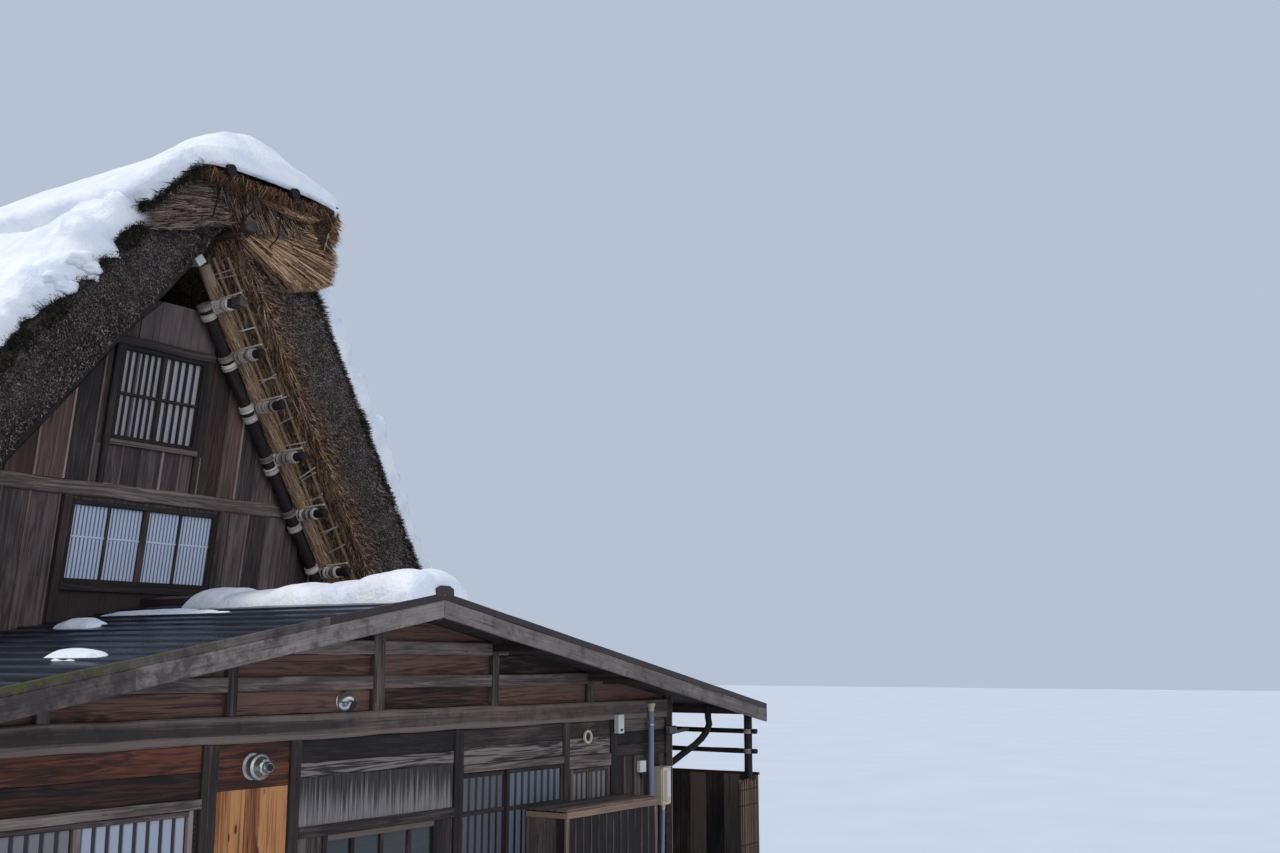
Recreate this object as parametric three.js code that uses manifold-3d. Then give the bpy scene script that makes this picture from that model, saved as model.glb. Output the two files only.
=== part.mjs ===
// Minka farmhouse: a steep thatched house in snow, with a low metal-roofed annex across its front gable.
// Millimetres, +Z up. The origin is on the ground under the annex's front sill, below the ridge line.
// +X is to the right of someone who faces the annex, and +Y runs back along the ridge.
import * as THREE from "three";
import { mergeVertices } from "three/addons/utils/BufferGeometryUtils.js";
import Module from "manifold-3d";

const wasm = await Module();
wasm.setup();

// Driving dimensions
const KEN = 1820; // the bay that the whole house is set out in
const SEAT = 0.3; // the gap between pieces that touch
const ANNEX_HALF = 3 * KEN;
const ANNEX_DEPTH = 2 * KEN;
const HOUSE_LENGTH = 7 * KEN;
const WALL = 120;
const SHEET = 15; // half the thickness of a board wall
const SILL = 80;

const ROOF_RIDGE = 3850;
const ROOF_SLOPE = 0.185;
const ROOF_DEPTH = 90;
const ROOF_FRONT = -860;
const ROOF_BACK = ANNEX_DEPTH - 1;
const BACK_WALL = [ANNEX_DEPTH - 60, ANNEX_DEPTH + 40];
const ROOF_EAVE = 6570;
const PURLIN = 110;
const EAVE_PURLIN = 6100;
const RIDGE_PURLIN = { half: 65, depth: 150 };
const BEAM = [2492, 2727];
const RAIL_LOW = [2940, 3071];
const RAIL_HIGH = [3277, 3414];

const LEAN = THREE.MathUtils.degToRad(7.9); // the gables lean outwards
const GABLE_BASE = 3600;
const GABLE_Y = ANNEX_DEPTH + 42; // the gable's face at the height of its base
const HOUSE_MID = ANNEX_DEPTH + HOUSE_LENGTH / 2;
const THATCH_IN = { apex: 7930, slope: 1.32 };
const THATCH_OUT = { apex: 9600, slope: 1.3 };
const VERGE = 590; // how far the thatch stands out in front of the gable
const THATCH_TOP = 8750;
const EAVE = 2800;
const HOUSE_HALF = 3940;
const GABLE_FOOT = 2950;

const DOOR = { left: 1310, meet: 2070, right: 3102.5, top: 2035 };
const PANE = 4; // half the thickness of a window's pane
const BAR = { wide: 22, deep: 18 }; // half the width and depth of a window's bar

const wood = material(0x4a382e, 0.9);
const greyWood = material(0x6f655c, 0.9);
const redWood = material(0x5b3d2f, 0.9);
const thatch = material(0x6b5540, 1);
const straw = material(0xa08055, 1);
const snow = material(0xf2f5fa, 0.6);
const roofMetal = material(0x2a2e38, 0.35, 0.8);
const brownMetal = material(0x4d3b35, 0.5, 0.6);
const steel = material(0xb9b9b7, 0.3, 0.9);
const plastic = material(0x8d949c, 0.5);
const beige = material(0xcfc6a8, 0.6);
const pane = material(0xaab6c2, 0.4);
const floorWood = material(0x7a6650, 0.8);

function material(color, roughness, metalness = 0) {
  return new THREE.MeshStandardMaterial({ color, roughness, metalness });
}

// Heights of the annex roof at a distance from its ridge line
const roofTop = (x) => ROOF_RIDGE - ROOF_SLOPE * Math.abs(x);
const roofUnder = (x) => roofTop(x) - ROOF_DEPTH;
const ridgePurlinFoot = roofUnder(RIDGE_PURLIN.half) - RIDGE_PURLIN.depth;

// Where a sloping plane of the thatch stands at a height
const reach = (plane, z) => (plane.apex - z) / plane.slope;
const overThatch = (x) => THATCH_OUT.apex - THATCH_OUT.slope * x + 2;

// The gable's face at a height, with how far a plane stands out in front of it
const gableY = (z, out = 0) => GABLE_Y - (z - GABLE_BASE) * Math.tan(LEAN) - out / Math.cos(LEAN);

// A height measured along the leaning gable
const along = (z) => (z - GABLE_BASE) / Math.cos(LEAN);

const back = (y) => 2 * HOUSE_MID - y;

// Shapes
function slab(low, high) {
  const size = high.map((h, i) => h - low[i]);
  const centre = high.map((h, i) => (h + low[i]) / 2);
  return new THREE.BoxGeometry(...size).translate(...centre);
}

// An outline of [x, z] points, drawn from y0 to y1
function prism(outline, y0, y1) {
  const shape = new THREE.Shape(outline.map(([x, z]) => new THREE.Vector2(x, z)));
  const drawn = new THREE.ExtrudeGeometry(shape, { depth: y1 - y0, bevelEnabled: false });
  return drawn.rotateX(Math.PI / 2).translate(0, y1, 0);
}

// A round log between two points
function log(from, to, radius, sides = 10) {
  const a = new THREE.Vector3(...from);
  const b = new THREE.Vector3(...to);
  const run = b.clone().sub(a);
  const turn = new THREE.Quaternion().setFromUnitVectors(
    new THREE.Vector3(0, 1, 0),
    run.clone().normalize(),
  );
  const middle = a.add(b).multiplyScalar(0.5);
  return new THREE.CylinderGeometry(radius, radius, run.length(), sides)
    .applyQuaternion(turn)
    .translate(middle.x, middle.y, middle.z);
}

// A turned shape whose axis points along -Y, from [radius, distance] pairs
function turned(profile, centre, sides = 20) {
  const points = profile.map(([r, d]) => new THREE.Vector2(r, d));
  return new THREE.LatheGeometry(points, sides).rotateZ(Math.PI).translate(...centre);
}

// A closed skin over rings of points that all have one outline's order
function loft(rings) {
  const count = rings[0].length;
  const positions = rings.flat(2);
  const index = [];
  for (let r = 0; r < rings.length - 1; r++) {
    for (let i = 0; i < count; i++) {
      const a = r * count + i;
      const b = r * count + ((i + 1) % count);
      index.push(a, a + count, b, b, a + count, b + count);
    }
  }
  const flat = rings[0].map(([x, , z]) => new THREE.Vector2(x, z));
  const last = (rings.length - 1) * count;
  for (const [a, b, c] of THREE.ShapeUtils.triangulateShape(flat, [])) {
    index.push(a, b, c, last + a, last + c, last + b);
  }
  const geometry = new THREE.BufferGeometry();
  geometry.setAttribute("position", new THREE.Float32BufferAttribute(positions, 3));
  geometry.setIndex(index);
  return geometry;
}

// The same shape at the house's other end
function turnedRound(geometry) {
  return geometry.clone().rotateZ(Math.PI).translate(0, 2 * HOUSE_MID, 0);
}

function solid(geometry) {
  const bare = geometry.clone();
  bare.deleteAttribute("normal");
  bare.deleteAttribute("uv");
  const merged = mergeVertices(bare, 1e-3);
  const made = new wasm.Manifold(
    new wasm.Mesh({
      numProp: 3,
      vertProperties: new Float32Array(merged.attributes.position.array),
      triVerts: new Uint32Array(merged.index.array),
    }),
  );
  return made;
}

function geometryOf(made) {
  const mesh = made.getMesh();
  const geometry = new THREE.BufferGeometry();
  geometry.setAttribute("position", new THREE.BufferAttribute(mesh.vertProperties, 3));
  geometry.setIndex(new THREE.BufferAttribute(mesh.triVerts, 1));
  return geometry;
}

function join(pieces) {
  return geometryOf(pieces.map(solid).reduce((sum, piece) => sum.add(piece)));
}

function cut(geometry, tools) {
  return geometryOf(tools.map(solid).reduce((rest, tool) => rest.subtract(tool), solid(geometry)));
}

function add(group, name, geometry, finish) {
  const mesh = new THREE.Mesh(geometry, finish);
  mesh.name = name;
  group.add(mesh);
}

// A frame with bars round a thin pane, filling an opening; y runs through the wall
function windowUnit({ x, z, y, bars = [], rail = 50 }) {
  const [x0, x1] = [x[0] + SEAT, x[1] - SEAT];
  const [z0, z1] = [z[0] + SEAT, z[1] - SEAT];
  const middle = (y[0] + y[1]) / 2;
  const block = slab([x0, y[0], z0], [x1, y[1], z1]);
  const light = slab([x0 + rail, y[0] - 1, z0 + rail], [x1 - rail, y[1] + 1, z1 - rail]);
  const inside = (half, low, high) =>
    slab([low, middle - half, z0 + rail - 1], [high, middle + half, z1 - rail + 1]);
  const sheet = inside(PANE, x0 + rail - 1, x1 - rail + 1);
  const uprights = bars.map((bar) => inside(BAR.deep, bar - BAR.wide, bar + BAR.wide));
  return join([cut(block, [light]), sheet, ...uprights]);
}

// The annex: a timber front of posts and boards under a shallow roof
const POSTS = [
  ["annex_post_left", -2106, -1935],
  ["annex_post_narrow_bay", -1112, -984],
  ["annex_post_door_left", 1172, 1310],
  ["annex_post_door_right", 3102.5, 3213],
];
const INNER = ANNEX_HALF - WALL - SEAT; // where the front's boards meet the side walls
const WINDOW_LEFT = { x: [-4360, -2160], z: [950, 1960] };
const WINDOW_MIDDLE = { x: [-660, 940], z: [750, 1600] };
const WINDOW_RIGHT = { x: [3270, 4100], z: [1000, 1950] };

function hole({ x, z }, y0, y1) {
  return slab([x[0], y0, z[0]], [x[1], y1, z[1]]);
}

function annexFront(house) {
  const top = BEAM[0] - SEAT;
  const foot = SILL + SEAT;
  add(house, "annex_sill", slab([-INNER, -WALL / 2, 0], [INNER, WALL / 2, SILL]), greyWood);
  for (const [name, x0, x1] of POSTS) {
    add(house, name, slab([x0, -WALL / 2, foot], [x1, -SHEET - SEAT, top]), wood);
  }
  const left = slab([-INNER, -SHEET, foot], [DOOR.left - 20, SHEET, top]);
  const leftHoles = [WINDOW_LEFT, WINDOW_MIDDLE].map((w) => hole(w, -100, 100));
  add(house, "annex_wall_left_bays", cut(left, leftHoles), wood);
  const right = slab([DOOR.right + 20, -SHEET, foot], [INNER, SHEET, top]);
  add(house, "annex_wall_right_bay", cut(right, [hole(WINDOW_RIGHT, -100, 100)]), wood);
  add(house, "annex_window_left", windowUnit({ ...WINDOW_LEFT, y: [-40, 40], bars: [-3260] }), greyWood);
  add(house, "annex_window_middle", windowUnit({ ...WINDOW_MIDDLE, y: [-40, 40], bars: [140] }), wood);
  add(house, "annex_window_right", windowUnit({ ...WINDOW_RIGHT, y: [-40, 40] }), greyWood);
  add(house, "annex_beam", slab([-INNER, -75, BEAM[0]], [INNER, 45, BEAM[1]]), greyWood);
  annexDoor(house, foot, top);
}

function annexDoor(house, foot, top) {
  const { left, meet, right } = DOOR;
  const head = slab([left - 19, -SHEET, DOOR.top + 40], [right + 19, SHEET, top]);
  const lintel = slab([left + SEAT, -55, DOOR.top], [right - SEAT, 30, DOOR.top + 75]);
  add(house, "door_head", join([head, lintel]), wood);
  const fixed = slab([meet - 10, -45, foot], [right - SEAT, -SHEET, DOOR.top - SEAT]);
  add(house, "door_leaf_fixed", fixed, greyWood);
  const leaf = slab([left + 8, -5, foot + 5], [meet + 30, 25, DOOR.top - 10]);
  const shoes = [left + 60, meet - 60].map((x) => slab([x, 0, foot], [x + 50, 20, foot + 10]));
  add(house, "door_leaf_sliding", join([leaf, ...shoes]), greyWood);
}

function annexGable(house) {
  const foot = BEAM[1] + SEAT;
  const struts = [-2, -1, 0, 1, 2].map((n) => {
    const x = n * KEN;
    const top = n === 0 ? ridgePurlinFoot : roofUnder(Math.abs(x) + 60) - PURLIN;
    return slab([x - 60, -WALL / 2, foot], [x + 60, SHEET, top - SEAT]);
  });
  const railLow = slab([-3700, -50, RAIL_LOW[0]], [3700, 10, RAIL_LOW[1]]);
  const railHigh = slab([-1880, -50, RAIL_HIGH[0]], [1880, 10, RAIL_HIGH[1]]);
  const clear = roofBody(1).concat(roofBody(-1));
  add(house, "annex_gable_frame", cut(join([...struts, railLow, railHigh]), clear), greyWood);
  const boards = prism(
    [[-INNER, foot], [INNER, foot], [INNER, roofUnder(INNER) - SEAT], [0, roofUnder(0) - SEAT],
      [-INNER, roofUnder(INNER) - SEAT]],
    SHEET + SEAT,
    SHEET + SEAT + 25,
  );
  add(house, "annex_gable_boards", cut(boards, clear), redWood);
}

// The space that a slope of the annex roof and its purlins take, with their seat
function roofBody(side) {
  const clear = SEAT * 2;
  const far = side * 7000;
  const outline = [[0, roofUnder(0) - clear], [far, roofUnder(far) - clear], [far, 4400], [0, 4400]];
  const shell = prism(side > 0 ? outline : outline.reverse(), ROOF_FRONT, ROOF_BACK);
  return [shell, ...purlins(side, clear)];
}

function purlins(side, clear = 0) {
  const end = BACK_WALL[0] - SEAT;
  const half = PURLIN / 2 + clear;
  const ribs = [KEN, 2 * KEN, EAVE_PURLIN].map((x) => {
    const low = roofUnder(x) - PURLIN - clear;
    return slab([side * x - half, ROOF_FRONT, low], [side * x + half, end, roofUnder(x + 60) + 20]);
  });
  if (side < 0) {
    const wide = RIDGE_PURLIN.half + clear;
    ribs.push(slab([-wide, ROOF_FRONT, ridgePurlinFoot - clear], [wide, end, roofUnder(0) + 20]));
  }
  return ribs;
}

function annexRoof(house) {
  for (const [name, side] of [["annex_roof_left", -1], ["annex_roof_right", 1]]) {
    const inner = side * SEAT;
    const eave = side * ROOF_EAVE;
    const under = [[inner, roofUnder(0)], [eave, roofUnder(eave)]];
    const outline = [[inner, roofTop(0)], ...under, [eave, roofTop(eave)]];
    const slope = prism(side > 0 ? outline : outline.reverse(), ROOF_FRONT + SEAT, ROOF_BACK);
    const ribs = purlins(side).slice(0, 3);
    const ridge = side < 0 ? [ridgePurlin()] : [];
    add(house, name, join([slope, ...ribs, ...ridge]), roofMetal);
  }
  const foot = roofTop(125) + SEAT;
  const cap = prism(
    [[-125, foot], [0, roofTop(0) + SEAT], [125, foot], [125, 3905], [60, 3935], [-60, 3935], [-125, 3905]],
    ROOF_FRONT - 40,
    ANNEX_DEPTH - 15,
  );
  add(house, "annex_ridge_cap", cap, brownMetal);
  const boards = prism(
    [[-ROOF_EAVE, roofTop(ROOF_EAVE) - 225], [0, roofTop(0) - 225], [ROOF_EAVE, roofTop(ROOF_EAVE) - 225],
      [ROOF_EAVE, roofTop(ROOF_EAVE)], [0, roofTop(0)], [-ROOF_EAVE, roofTop(ROOF_EAVE)]],
    ROOF_FRONT - 40,
    ROOF_FRONT,
  );
  add(house, "annex_bargeboards", boards, greyWood);
}

// It sits on the left slope's side of the ridge line, and is one piece with that slope
function ridgePurlin() {
  const { half, depth } = RIDGE_PURLIN;
  const top = ridgePurlinFoot + depth + 40;
  return slab([-half, ROOF_FRONT + SEAT, ridgePurlinFoot], [-SEAT, BACK_WALL[0] - SEAT, top]);
}

function annexSides(house) {
  for (const [name, side] of [["annex_wall_left", -1], ["annex_wall_right", 1]]) {
    const near = side * (ANNEX_HALF - WALL);
    const far = side * ANNEX_HALF;
    const outline = [[near, 0], [far, 0], [far, roofUnder(far) - SEAT], [near, roofUnder(near) - SEAT]];
    add(house, name, prism(side > 0 ? outline : outline.reverse(), -WALL / 2, BACK_WALL[1]), wood);
  }
  add(house, "annex_floor",
    slab([-INNER, WALL / 2 + SEAT, 0], [INNER, BACK_WALL[0] - SEAT, SILL]), floorWood);
  const top = GABLE_BASE - 10;
  const shoulder = (roofUnder(0) - top) / ROOF_SLOPE;
  const wall = prism(
    [[-INNER, 0], [INNER, 0], [INNER, roofUnder(INNER) - SEAT], [shoulder, top - SEAT],
      [-shoulder, top - SEAT], [-INNER, roofUnder(INNER) - SEAT]],
    ...BACK_WALL,
  );
  const passage = slab([-KEN / 2, 0, -10], [KEN / 2, 2 * ANNEX_DEPTH, 2300]);
  add(house, "annex_back_wall", cut(wall, [passage]), wood);
}

// The thatched house
function houseWalls(house) {
  const y0 = BACK_WALL[1] + SEAT;
  const y1 = back(gableY(GABLE_FOOT)) - WALL - 8;
  const inner = HOUSE_HALF - WALL;
  const lights = [0.18, 0.5, 0.82].map((share) => y0 + share * (y1 - y0));
  for (const [side, word] of [[-1, "left"], [1, "right"]]) {
    const x = [side * inner, side * HOUSE_HALF].sort((a, b) => a - b);
    const wall = slab([x[0], y0, 0], [x[1], y1 - SEAT, EAVE - SEAT]);
    const holes = lights.map((y) => slab([x[0] - 10, y - 800, 1000], [x[1] + 10, y + 800, 1900]));
    add(house, "house_wall_" + word, cut(wall, holes), wood);
    const sheet = [side * (inner - SEAT - 8), side * (inner - SEAT)].sort((a, b) => a - b);
    add(house, "house_panes_" + word,
      slab([sheet[0], lights[0] - 900, 900], [sheet[1], lights[2] + 900, 2000]), pane);
  }
  const edge = THATCH_IN.apex - THATCH_IN.slope * HOUSE_HALF - 1;
  const shoulder = reach(THATCH_IN, GABLE_FOOT) - 1;
  const outline = [[-HOUSE_HALF, 0], [HOUSE_HALF, 0], [HOUSE_HALF, edge], [shoulder, GABLE_FOOT - 1],
    [-shoulder, GABLE_FOOT - 1], [-HOUSE_HALF, edge]];
  const rear = prism(outline, y1, y1 + WALL);
  const rearHoles = [-1900, 1900].map((x) => slab([x - 800, y1 - 10, 1000], [x + 800, y1 + 200, 1900]));
  add(house, "house_wall_back", cut(rear, rearHoles), wood);
  add(house, "house_panes_back", slab([-2800, y1 - SEAT - 8, 900], [2800, y1 - SEAT, 2000]), pane);
  add(house, "house_floor", slab([-inner + SEAT, y0, 0], [inner - SEAT, y1 - 20, SILL]), floorWood);
}

function atticFloor(house, name, z0, z1) {
  const half = reach(THATCH_IN, z1) - 1;
  const y0 = gableY(z0) + WALL / Math.cos(LEAN) + SEAT;
  add(house, name, slab([-half, y0, z0], [half, back(y0), z1]), floorWood);
}

const GABLE_LOW = { x: [-1200, 780], z: [along(4050), along(4960)] };
const GABLE_HIGH = { x: [-850, 310], z: [along(5660), along(6720)] };

// A leaning gable in its own frame: y = 0 is its face, and z runs up along it
function gable(house, word, place) {
  const group = new THREE.Group();
  group.position.set(0, place(GABLE_Y), GABLE_BASE);
  if (word === "back") {
    group.rotation.z = Math.PI;
  }
  const leaning = new THREE.Group();
  leaning.rotation.x = LEAN;
  group.add(leaning);
  house.add(group);
  const drop = WALL * Math.sin(LEAN) + 1;
  const edge = (z) => reach(THATCH_IN, z + drop);
  const top = 7300;
  const outline = [[-edge(GABLE_FOOT), along(GABLE_FOOT)], [edge(GABLE_FOOT), along(GABLE_FOOT)],
    [edge(top), along(top)], [-edge(top), along(top)]];
  const holes = [GABLE_LOW, GABLE_HIGH].map((w) => hole(w, -200, 400));
  add(leaning, "gable_wall_" + word, cut(prism(outline, 0, WALL), holes), wood);
  const low = windowUnit({ ...GABLE_LOW, y: [-50, 70], bars: [-210] });
  const high = windowUnit({ ...GABLE_HIGH, y: [-50, 70], bars: [-270] });
  const beam = slab([-2060, -50, along(5000)], [2060, -SEAT, along(5165)]);
  add(leaning, "gable_window_low_" + word, low, greyWood);
  add(leaning, "gable_window_high_" + word, high, wood);
  add(leaning, "gable_beam_" + word, beam, greyWood);
  for (const side of [-1, 1]) {
    add(leaning, "verge_poles_" + (side < 0 ? "left_" : "right_") + word, vergePoles(side), wood);
  }
}

// Apex is the height where a slanting edge or rod meets the ridge line, and out its distance before the gable
const VERGE_LEFT = {
  edge: 8350,
  pole: { apex: 8205, out: 128.6, radius: 75, x: [90, 3530] },
  roll: { apex: 8214, out: 290, radius: 72, x: [90, 3500] },
  stub: { apex: 8205, out: 8.65, length: 300 },
};
const VERGE_RIGHT = {
  edge: 8180,
  pole: { apex: 7430, out: 128.6, radius: 75, x: [60, 3050] },
  roll: { apex: 7760, out: 137, radius: 85, x: [80, 3260] },
  stub: { apex: 7626, out: 58.55, length: 560 },
};
const STUB = { radius: 60, z: [4350, 5050, 5700, 6270, 6820, 7350] };

// The dark pole, the straw roll and the stub logs that carry a verge, lashed into one
function vergePoles(side) {
  const { pole, roll, stub } = side < 0 ? VERGE_LEFT : VERGE_RIGHT;
  const rod = ({ apex, out, radius, x }) => {
    const [from, to] = x.map((d) => [side * d, -out, along(apex - THATCH_IN.slope * d)]);
    return log(from, to, radius);
  };
  const stubs = STUB.z.map((z) => {
    const x = (side * (stub.apex - z)) / THATCH_IN.slope;
    const end = [x, -stub.out - stub.length * Math.cos(LEAN), along(z) + stub.length * Math.sin(LEAN)];
    return log([x, -stub.out, along(z)], end, STUB.radius, 8);
  });
  return join([rod(pole), rod(roll), ...stubs]);
}

// The slope that ends in the front's right verge and, seen from behind, in the back's left one
function thatchSlope() {
  const section = (inner) => [
    [0, inner],
    [(inner - EAVE) / THATCH_IN.slope, EAVE],
    [reach(THATCH_OUT, EAVE), EAVE],
    [reach(THATCH_OUT, THATCH_TOP), THATCH_TOP],
    [0, THATCH_TOP],
  ];
  const ring = (inner, place) => section(inner).map(([x, z]) => [x + SEAT, place(z), z]);
  return loft([
    ring(VERGE_RIGHT.edge, (z) => gableY(z, VERGE)),
    ring(THATCH_IN.apex, (z) => gableY(z)),
    ring(THATCH_IN.apex, (z) => back(gableY(z))),
    ring(VERGE_LEFT.edge, (z) => back(gableY(z, SEAT / 3))),
    ring(VERGE_LEFT.edge, (z) => back(gableY(z, VERGE))),
  ]);
}

// The space over the annex that the thatch and its snow are trimmed away from
function annexSpace() {
  const far = 7000;
  return prism(
    [[-far, -10], [far, -10], [far, roofTop(far) + 12], [0, roofTop(0) + 12], [-far, roofTop(far) + 12]],
    0,
    ANNEX_DEPTH + 70,
  );
}

function roofThatch(house) {
  const slope = thatchSlope();
  add(house, "thatch_right", cut(slope, [annexSpace()]), thatch);
  add(house, "thatch_left", cut(turnedRound(slope), [annexSpace()]), thatch);
}

// The straw saddle over the ridge, whose ends droop as brims over a fan of straw
function ridgeCap(house) {
  const half = (points) => [
    ...points.map(([x, z]) => [-x, z]).reverse(),
    ...points,
  ];
  const knee = [reach(THATCH_OUT, THATCH_TOP) + 1, THATCH_TOP + 1];
  const saddle = half([[300, 9170], [800, 8850], [1280, 8230], [1180, overThatch(1180)], knee]);
  const neck = half([[300, 9090], [800, 8790], [1280, 8230], [1180, overThatch(1180)], knee]);
  const brim = half([[300, 8690], [640, 8670], [980, 8600], [960, 8500], [600, 8560]]);
  const ring = (points, y) => points.map(([x, z]) => [x, y, z]).reverse();
  const body = loft([
    ring(brim, 1840), ring(neck, 2340), ring(saddle, 2900),
    ring(saddle, back(2900)), ring(neck, back(2340)), ring(brim, back(1840)),
  ]);
  const turn = new THREE.Matrix4().makeTranslation(0, GABLE_Y, GABLE_BASE)
    .multiply(new THREE.Matrix4().makeRotationX(LEAN));
  const fan = prism(
    [[0, along(8210)], [520, along(7960)], [1120, along(7560)], [1400, along(7720)], [1180, along(8180)],
      [700, along(8600)], [0, along(8640)], [-700, along(8600)], [-1180, along(8180)], [-1400, along(7720)],
      [-1120, along(7560)], [-520, along(7960)]],
    -VERGE - 240,
    -VERGE - 1,
  ).applyMatrix4(turn);
  add(house, "ridge_cap", join([body, fan, turnedRound(fan)]), straw);
}

// Snow: one blanket over both slopes and the ridge, and a roll along the annex ridge
function roofSnow(house) {
  const [foot, knee] = [overThatch(5150), overThatch(1184)];
  const under = [[-5150, foot], [-1184, knee], [-1283, 8233], [-802, 8853], [-300, 9173],
    [300, 9173], [802, 8853], [1283, 8233], [1184, knee], [5150, foot]];
  const over = [[5190, foot + 130], [1370, 8170], [1340, 8330], [860, 9010], [320, 9370], [-320, 9370],
    [-900, 9060], [-1420, 8400], [-1460, 8110], [-5230, foot + 330]];
  const section = [...over, ...under];
  const ring = (place) => section.map(([x, z]) => [x, place(z), z]);
  const blanket = loft([ring((z) => gableY(z, VERGE - 330)), ring((z) => back(gableY(z, VERGE - 330)))]);
  add(house, "roof_snow", cut(blanket, [annexSpace()]), snow);
  const roll = prism(
    [[-560, roofTop(560) + 1], [-125.5, roofTop(125) + 1], [-125.5, 3905.5], [-60, 3935.5], [60, 3935.5],
      [125.5, 3905.5], [125.5, roofTop(125) + 1], [420, roofTop(420) + 1], [380, 3960], [150, 4060],
      [-150, 4070], [-460, 3930]],
    -700,
    2450,
  );
  add(house, "annex_ridge_snow", roll, snow);
}

// What is fixed to the annex's front
function fittings(house) {
  const flue = turned(
    [[0, 0], [118, 0], [118, 22], [96, 30], [96, 90], [118, 96], [118, 120], [92, 130], [80, 190],
      [60, 200], [60, 300], [0, 300]],
    [-1540, -SHEET - SEAT, 2283],
  );
  add(house, "flue_terminal", flue, steel);
  const hood = turned([[0, 0], [100, 0], [100, 20], [92, 60], [60, 120], [0, 135]], [-420, SHEET, 2829]);
  add(house, "vent_hood", hood, steel);
  const [x, y] = [4890, -113];
  const pipe = log([x, y, 0], [x, y, 2680], 37.5, 16);
  const clips = [600, 1500, 2400].map((z) => slab([x - 20, y, z], [x + 20, -SHEET - SEAT, z + 25]));
  add(house, "drain_pipe", join([pipe, ...clips]), plastic);
  add(house, "meter_box", slab([5060, -200, 1400], [5260, -SHEET - SEAT, 1870]), beige);
}

// The board store that stands against the annex beside its door
function boardStore(house) {
  const [x0, x1, y0, y1, top] = [2390, 4250, -620, -WALL / 2 - SEAT, 1600];
  const block = slab([x0, y0, 0], [x1, y1, top]);
  const room = slab([x0 + 30, y0 + 30, -10], [x1 - 30, y1 + 10, top - 30]);
  add(house, "board_store", cut(block, [room]), wood);
}

// The open shelter under the right eave
function shelter(house) {
  const x = 6300;
  const [y0, y1] = [-750, 3500];
  const top = roofUnder(x + 55) - SEAT;
  const posts = [y0, y1].map((y) => log([x, y, 0], [x, y, top], 55, 12));
  const rails = [2030, 2290].map((z) => log([x, y0 - 130, z], [x, y1 + 60, z], 35, 8));
  add(house, "shelter_frame", join([...posts, ...rails]), wood);
  const side = slab([x + 55 + SEAT, y0 - 100, 0], [x + 100, y1 + 100, 1780]);
  add(house, "shelter_side_screen", side, wood);
  const reed = slab([5900, y0 - 100, 0], [x + 55, y0 - 55 - SEAT, 1690]);
  add(house, "reed_screen", reed, straw);
  const brace = join([
    log([5485, 0, 1885], [6050, -190, 2195], 45, 8),
    log([6035, -180, 2170], [6095, -270, 2486], 45, 8),
  ]);
  brace.computeBoundingBox();
  const { min, max } = brace.boundingBox;
  const shift = [ANNEX_HALF + SEAT - min.x, 0, roofUnder(EAVE_PURLIN) - PURLIN - SEAT - max.z];
  add(house, "eave_brace", brace.translate(...shift), wood);
}

const house = new THREE.Group();
annexFront(house);
annexGable(house);
annexRoof(house);
annexSides(house);
houseWalls(house);
atticFloor(house, "attic_floor_low", 3420, 3540);
atticFloor(house, "attic_floor_high", 5000, 5090);
gable(house, "front", (y) => y);
gable(house, "back", back);
roofThatch(house);
ridgeCap(house);
roofSnow(house);
fittings(house);
boardStore(house);
shelter(house);

export default house;
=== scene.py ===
import math
import random
from math import cos, pi, sin, sqrt

import bmesh
import bpy
import numpy as np
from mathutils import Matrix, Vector, noise


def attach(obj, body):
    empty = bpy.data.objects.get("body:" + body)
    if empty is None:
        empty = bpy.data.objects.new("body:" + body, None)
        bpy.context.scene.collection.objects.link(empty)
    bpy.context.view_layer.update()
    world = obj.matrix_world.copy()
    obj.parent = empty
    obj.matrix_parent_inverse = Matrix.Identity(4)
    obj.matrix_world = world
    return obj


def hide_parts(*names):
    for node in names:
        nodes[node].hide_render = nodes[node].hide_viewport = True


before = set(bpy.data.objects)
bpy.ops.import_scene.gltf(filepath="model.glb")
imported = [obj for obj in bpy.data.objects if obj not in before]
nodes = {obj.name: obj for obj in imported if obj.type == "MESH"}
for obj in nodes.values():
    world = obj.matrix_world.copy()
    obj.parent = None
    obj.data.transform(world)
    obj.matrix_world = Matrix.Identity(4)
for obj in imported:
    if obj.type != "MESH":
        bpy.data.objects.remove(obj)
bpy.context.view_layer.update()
rng = random.Random(11)
noise.seed_set(11)
many = np.random.default_rng(11)

# The house's main sizes in metres, as in the CAD
LEAN = math.radians(7.9)
GABLE_Y, GABLE_BASE, HOUSE_MID = 3.682, 3.6, 10.01
HOUSE_SPAN = 2 * HOUSE_MID
HOUSE_HALF, ANNEX_HALF = 3.94, 5.46
EAVE, THATCH_TOP, SNOW_TOP = 2.8, 8.75, 9.362
# A verge's depth and its rim's radius
VERGE, RIM = 0.59, 0.26
# The fall of its inner and outer lines for each metre, and their heights over the ridge line
RAKE, OUTER_RAKE = 1.32, 1.3
INNER_APEX, OUTER_APEX = 7.93, 9.6
# The same height of its face's lower edge, at a right-hand and at a left-hand verge
LOW_EDGE, HIGH_EDGE = 8.18, 8.35
# The heights of the annex's main beam and of the beam in each leaning gable
BEAM_FOOT, BEAM_TOP = 2.4935, 2.7255
GABLE_BEAM = (5.002, 5.163)
# The annex roof: ridge, fall for each metre, eave and back edge
ROOF_RIDGE, ROOF_FALL, ROOF_EAVE, ROOF_BACK = 3.85, 0.185, 6.57, 3.6


def gable_y(z, out=0.0):
    """The y of the front gable at a height, out metres in front of it."""
    return GABLE_Y - (z - GABLE_BASE) * math.tan(LEAN) - out / cos(LEAN)


def roof_top(x):
    return ROOF_RIDGE - ROOF_FALL * abs(x)


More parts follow.
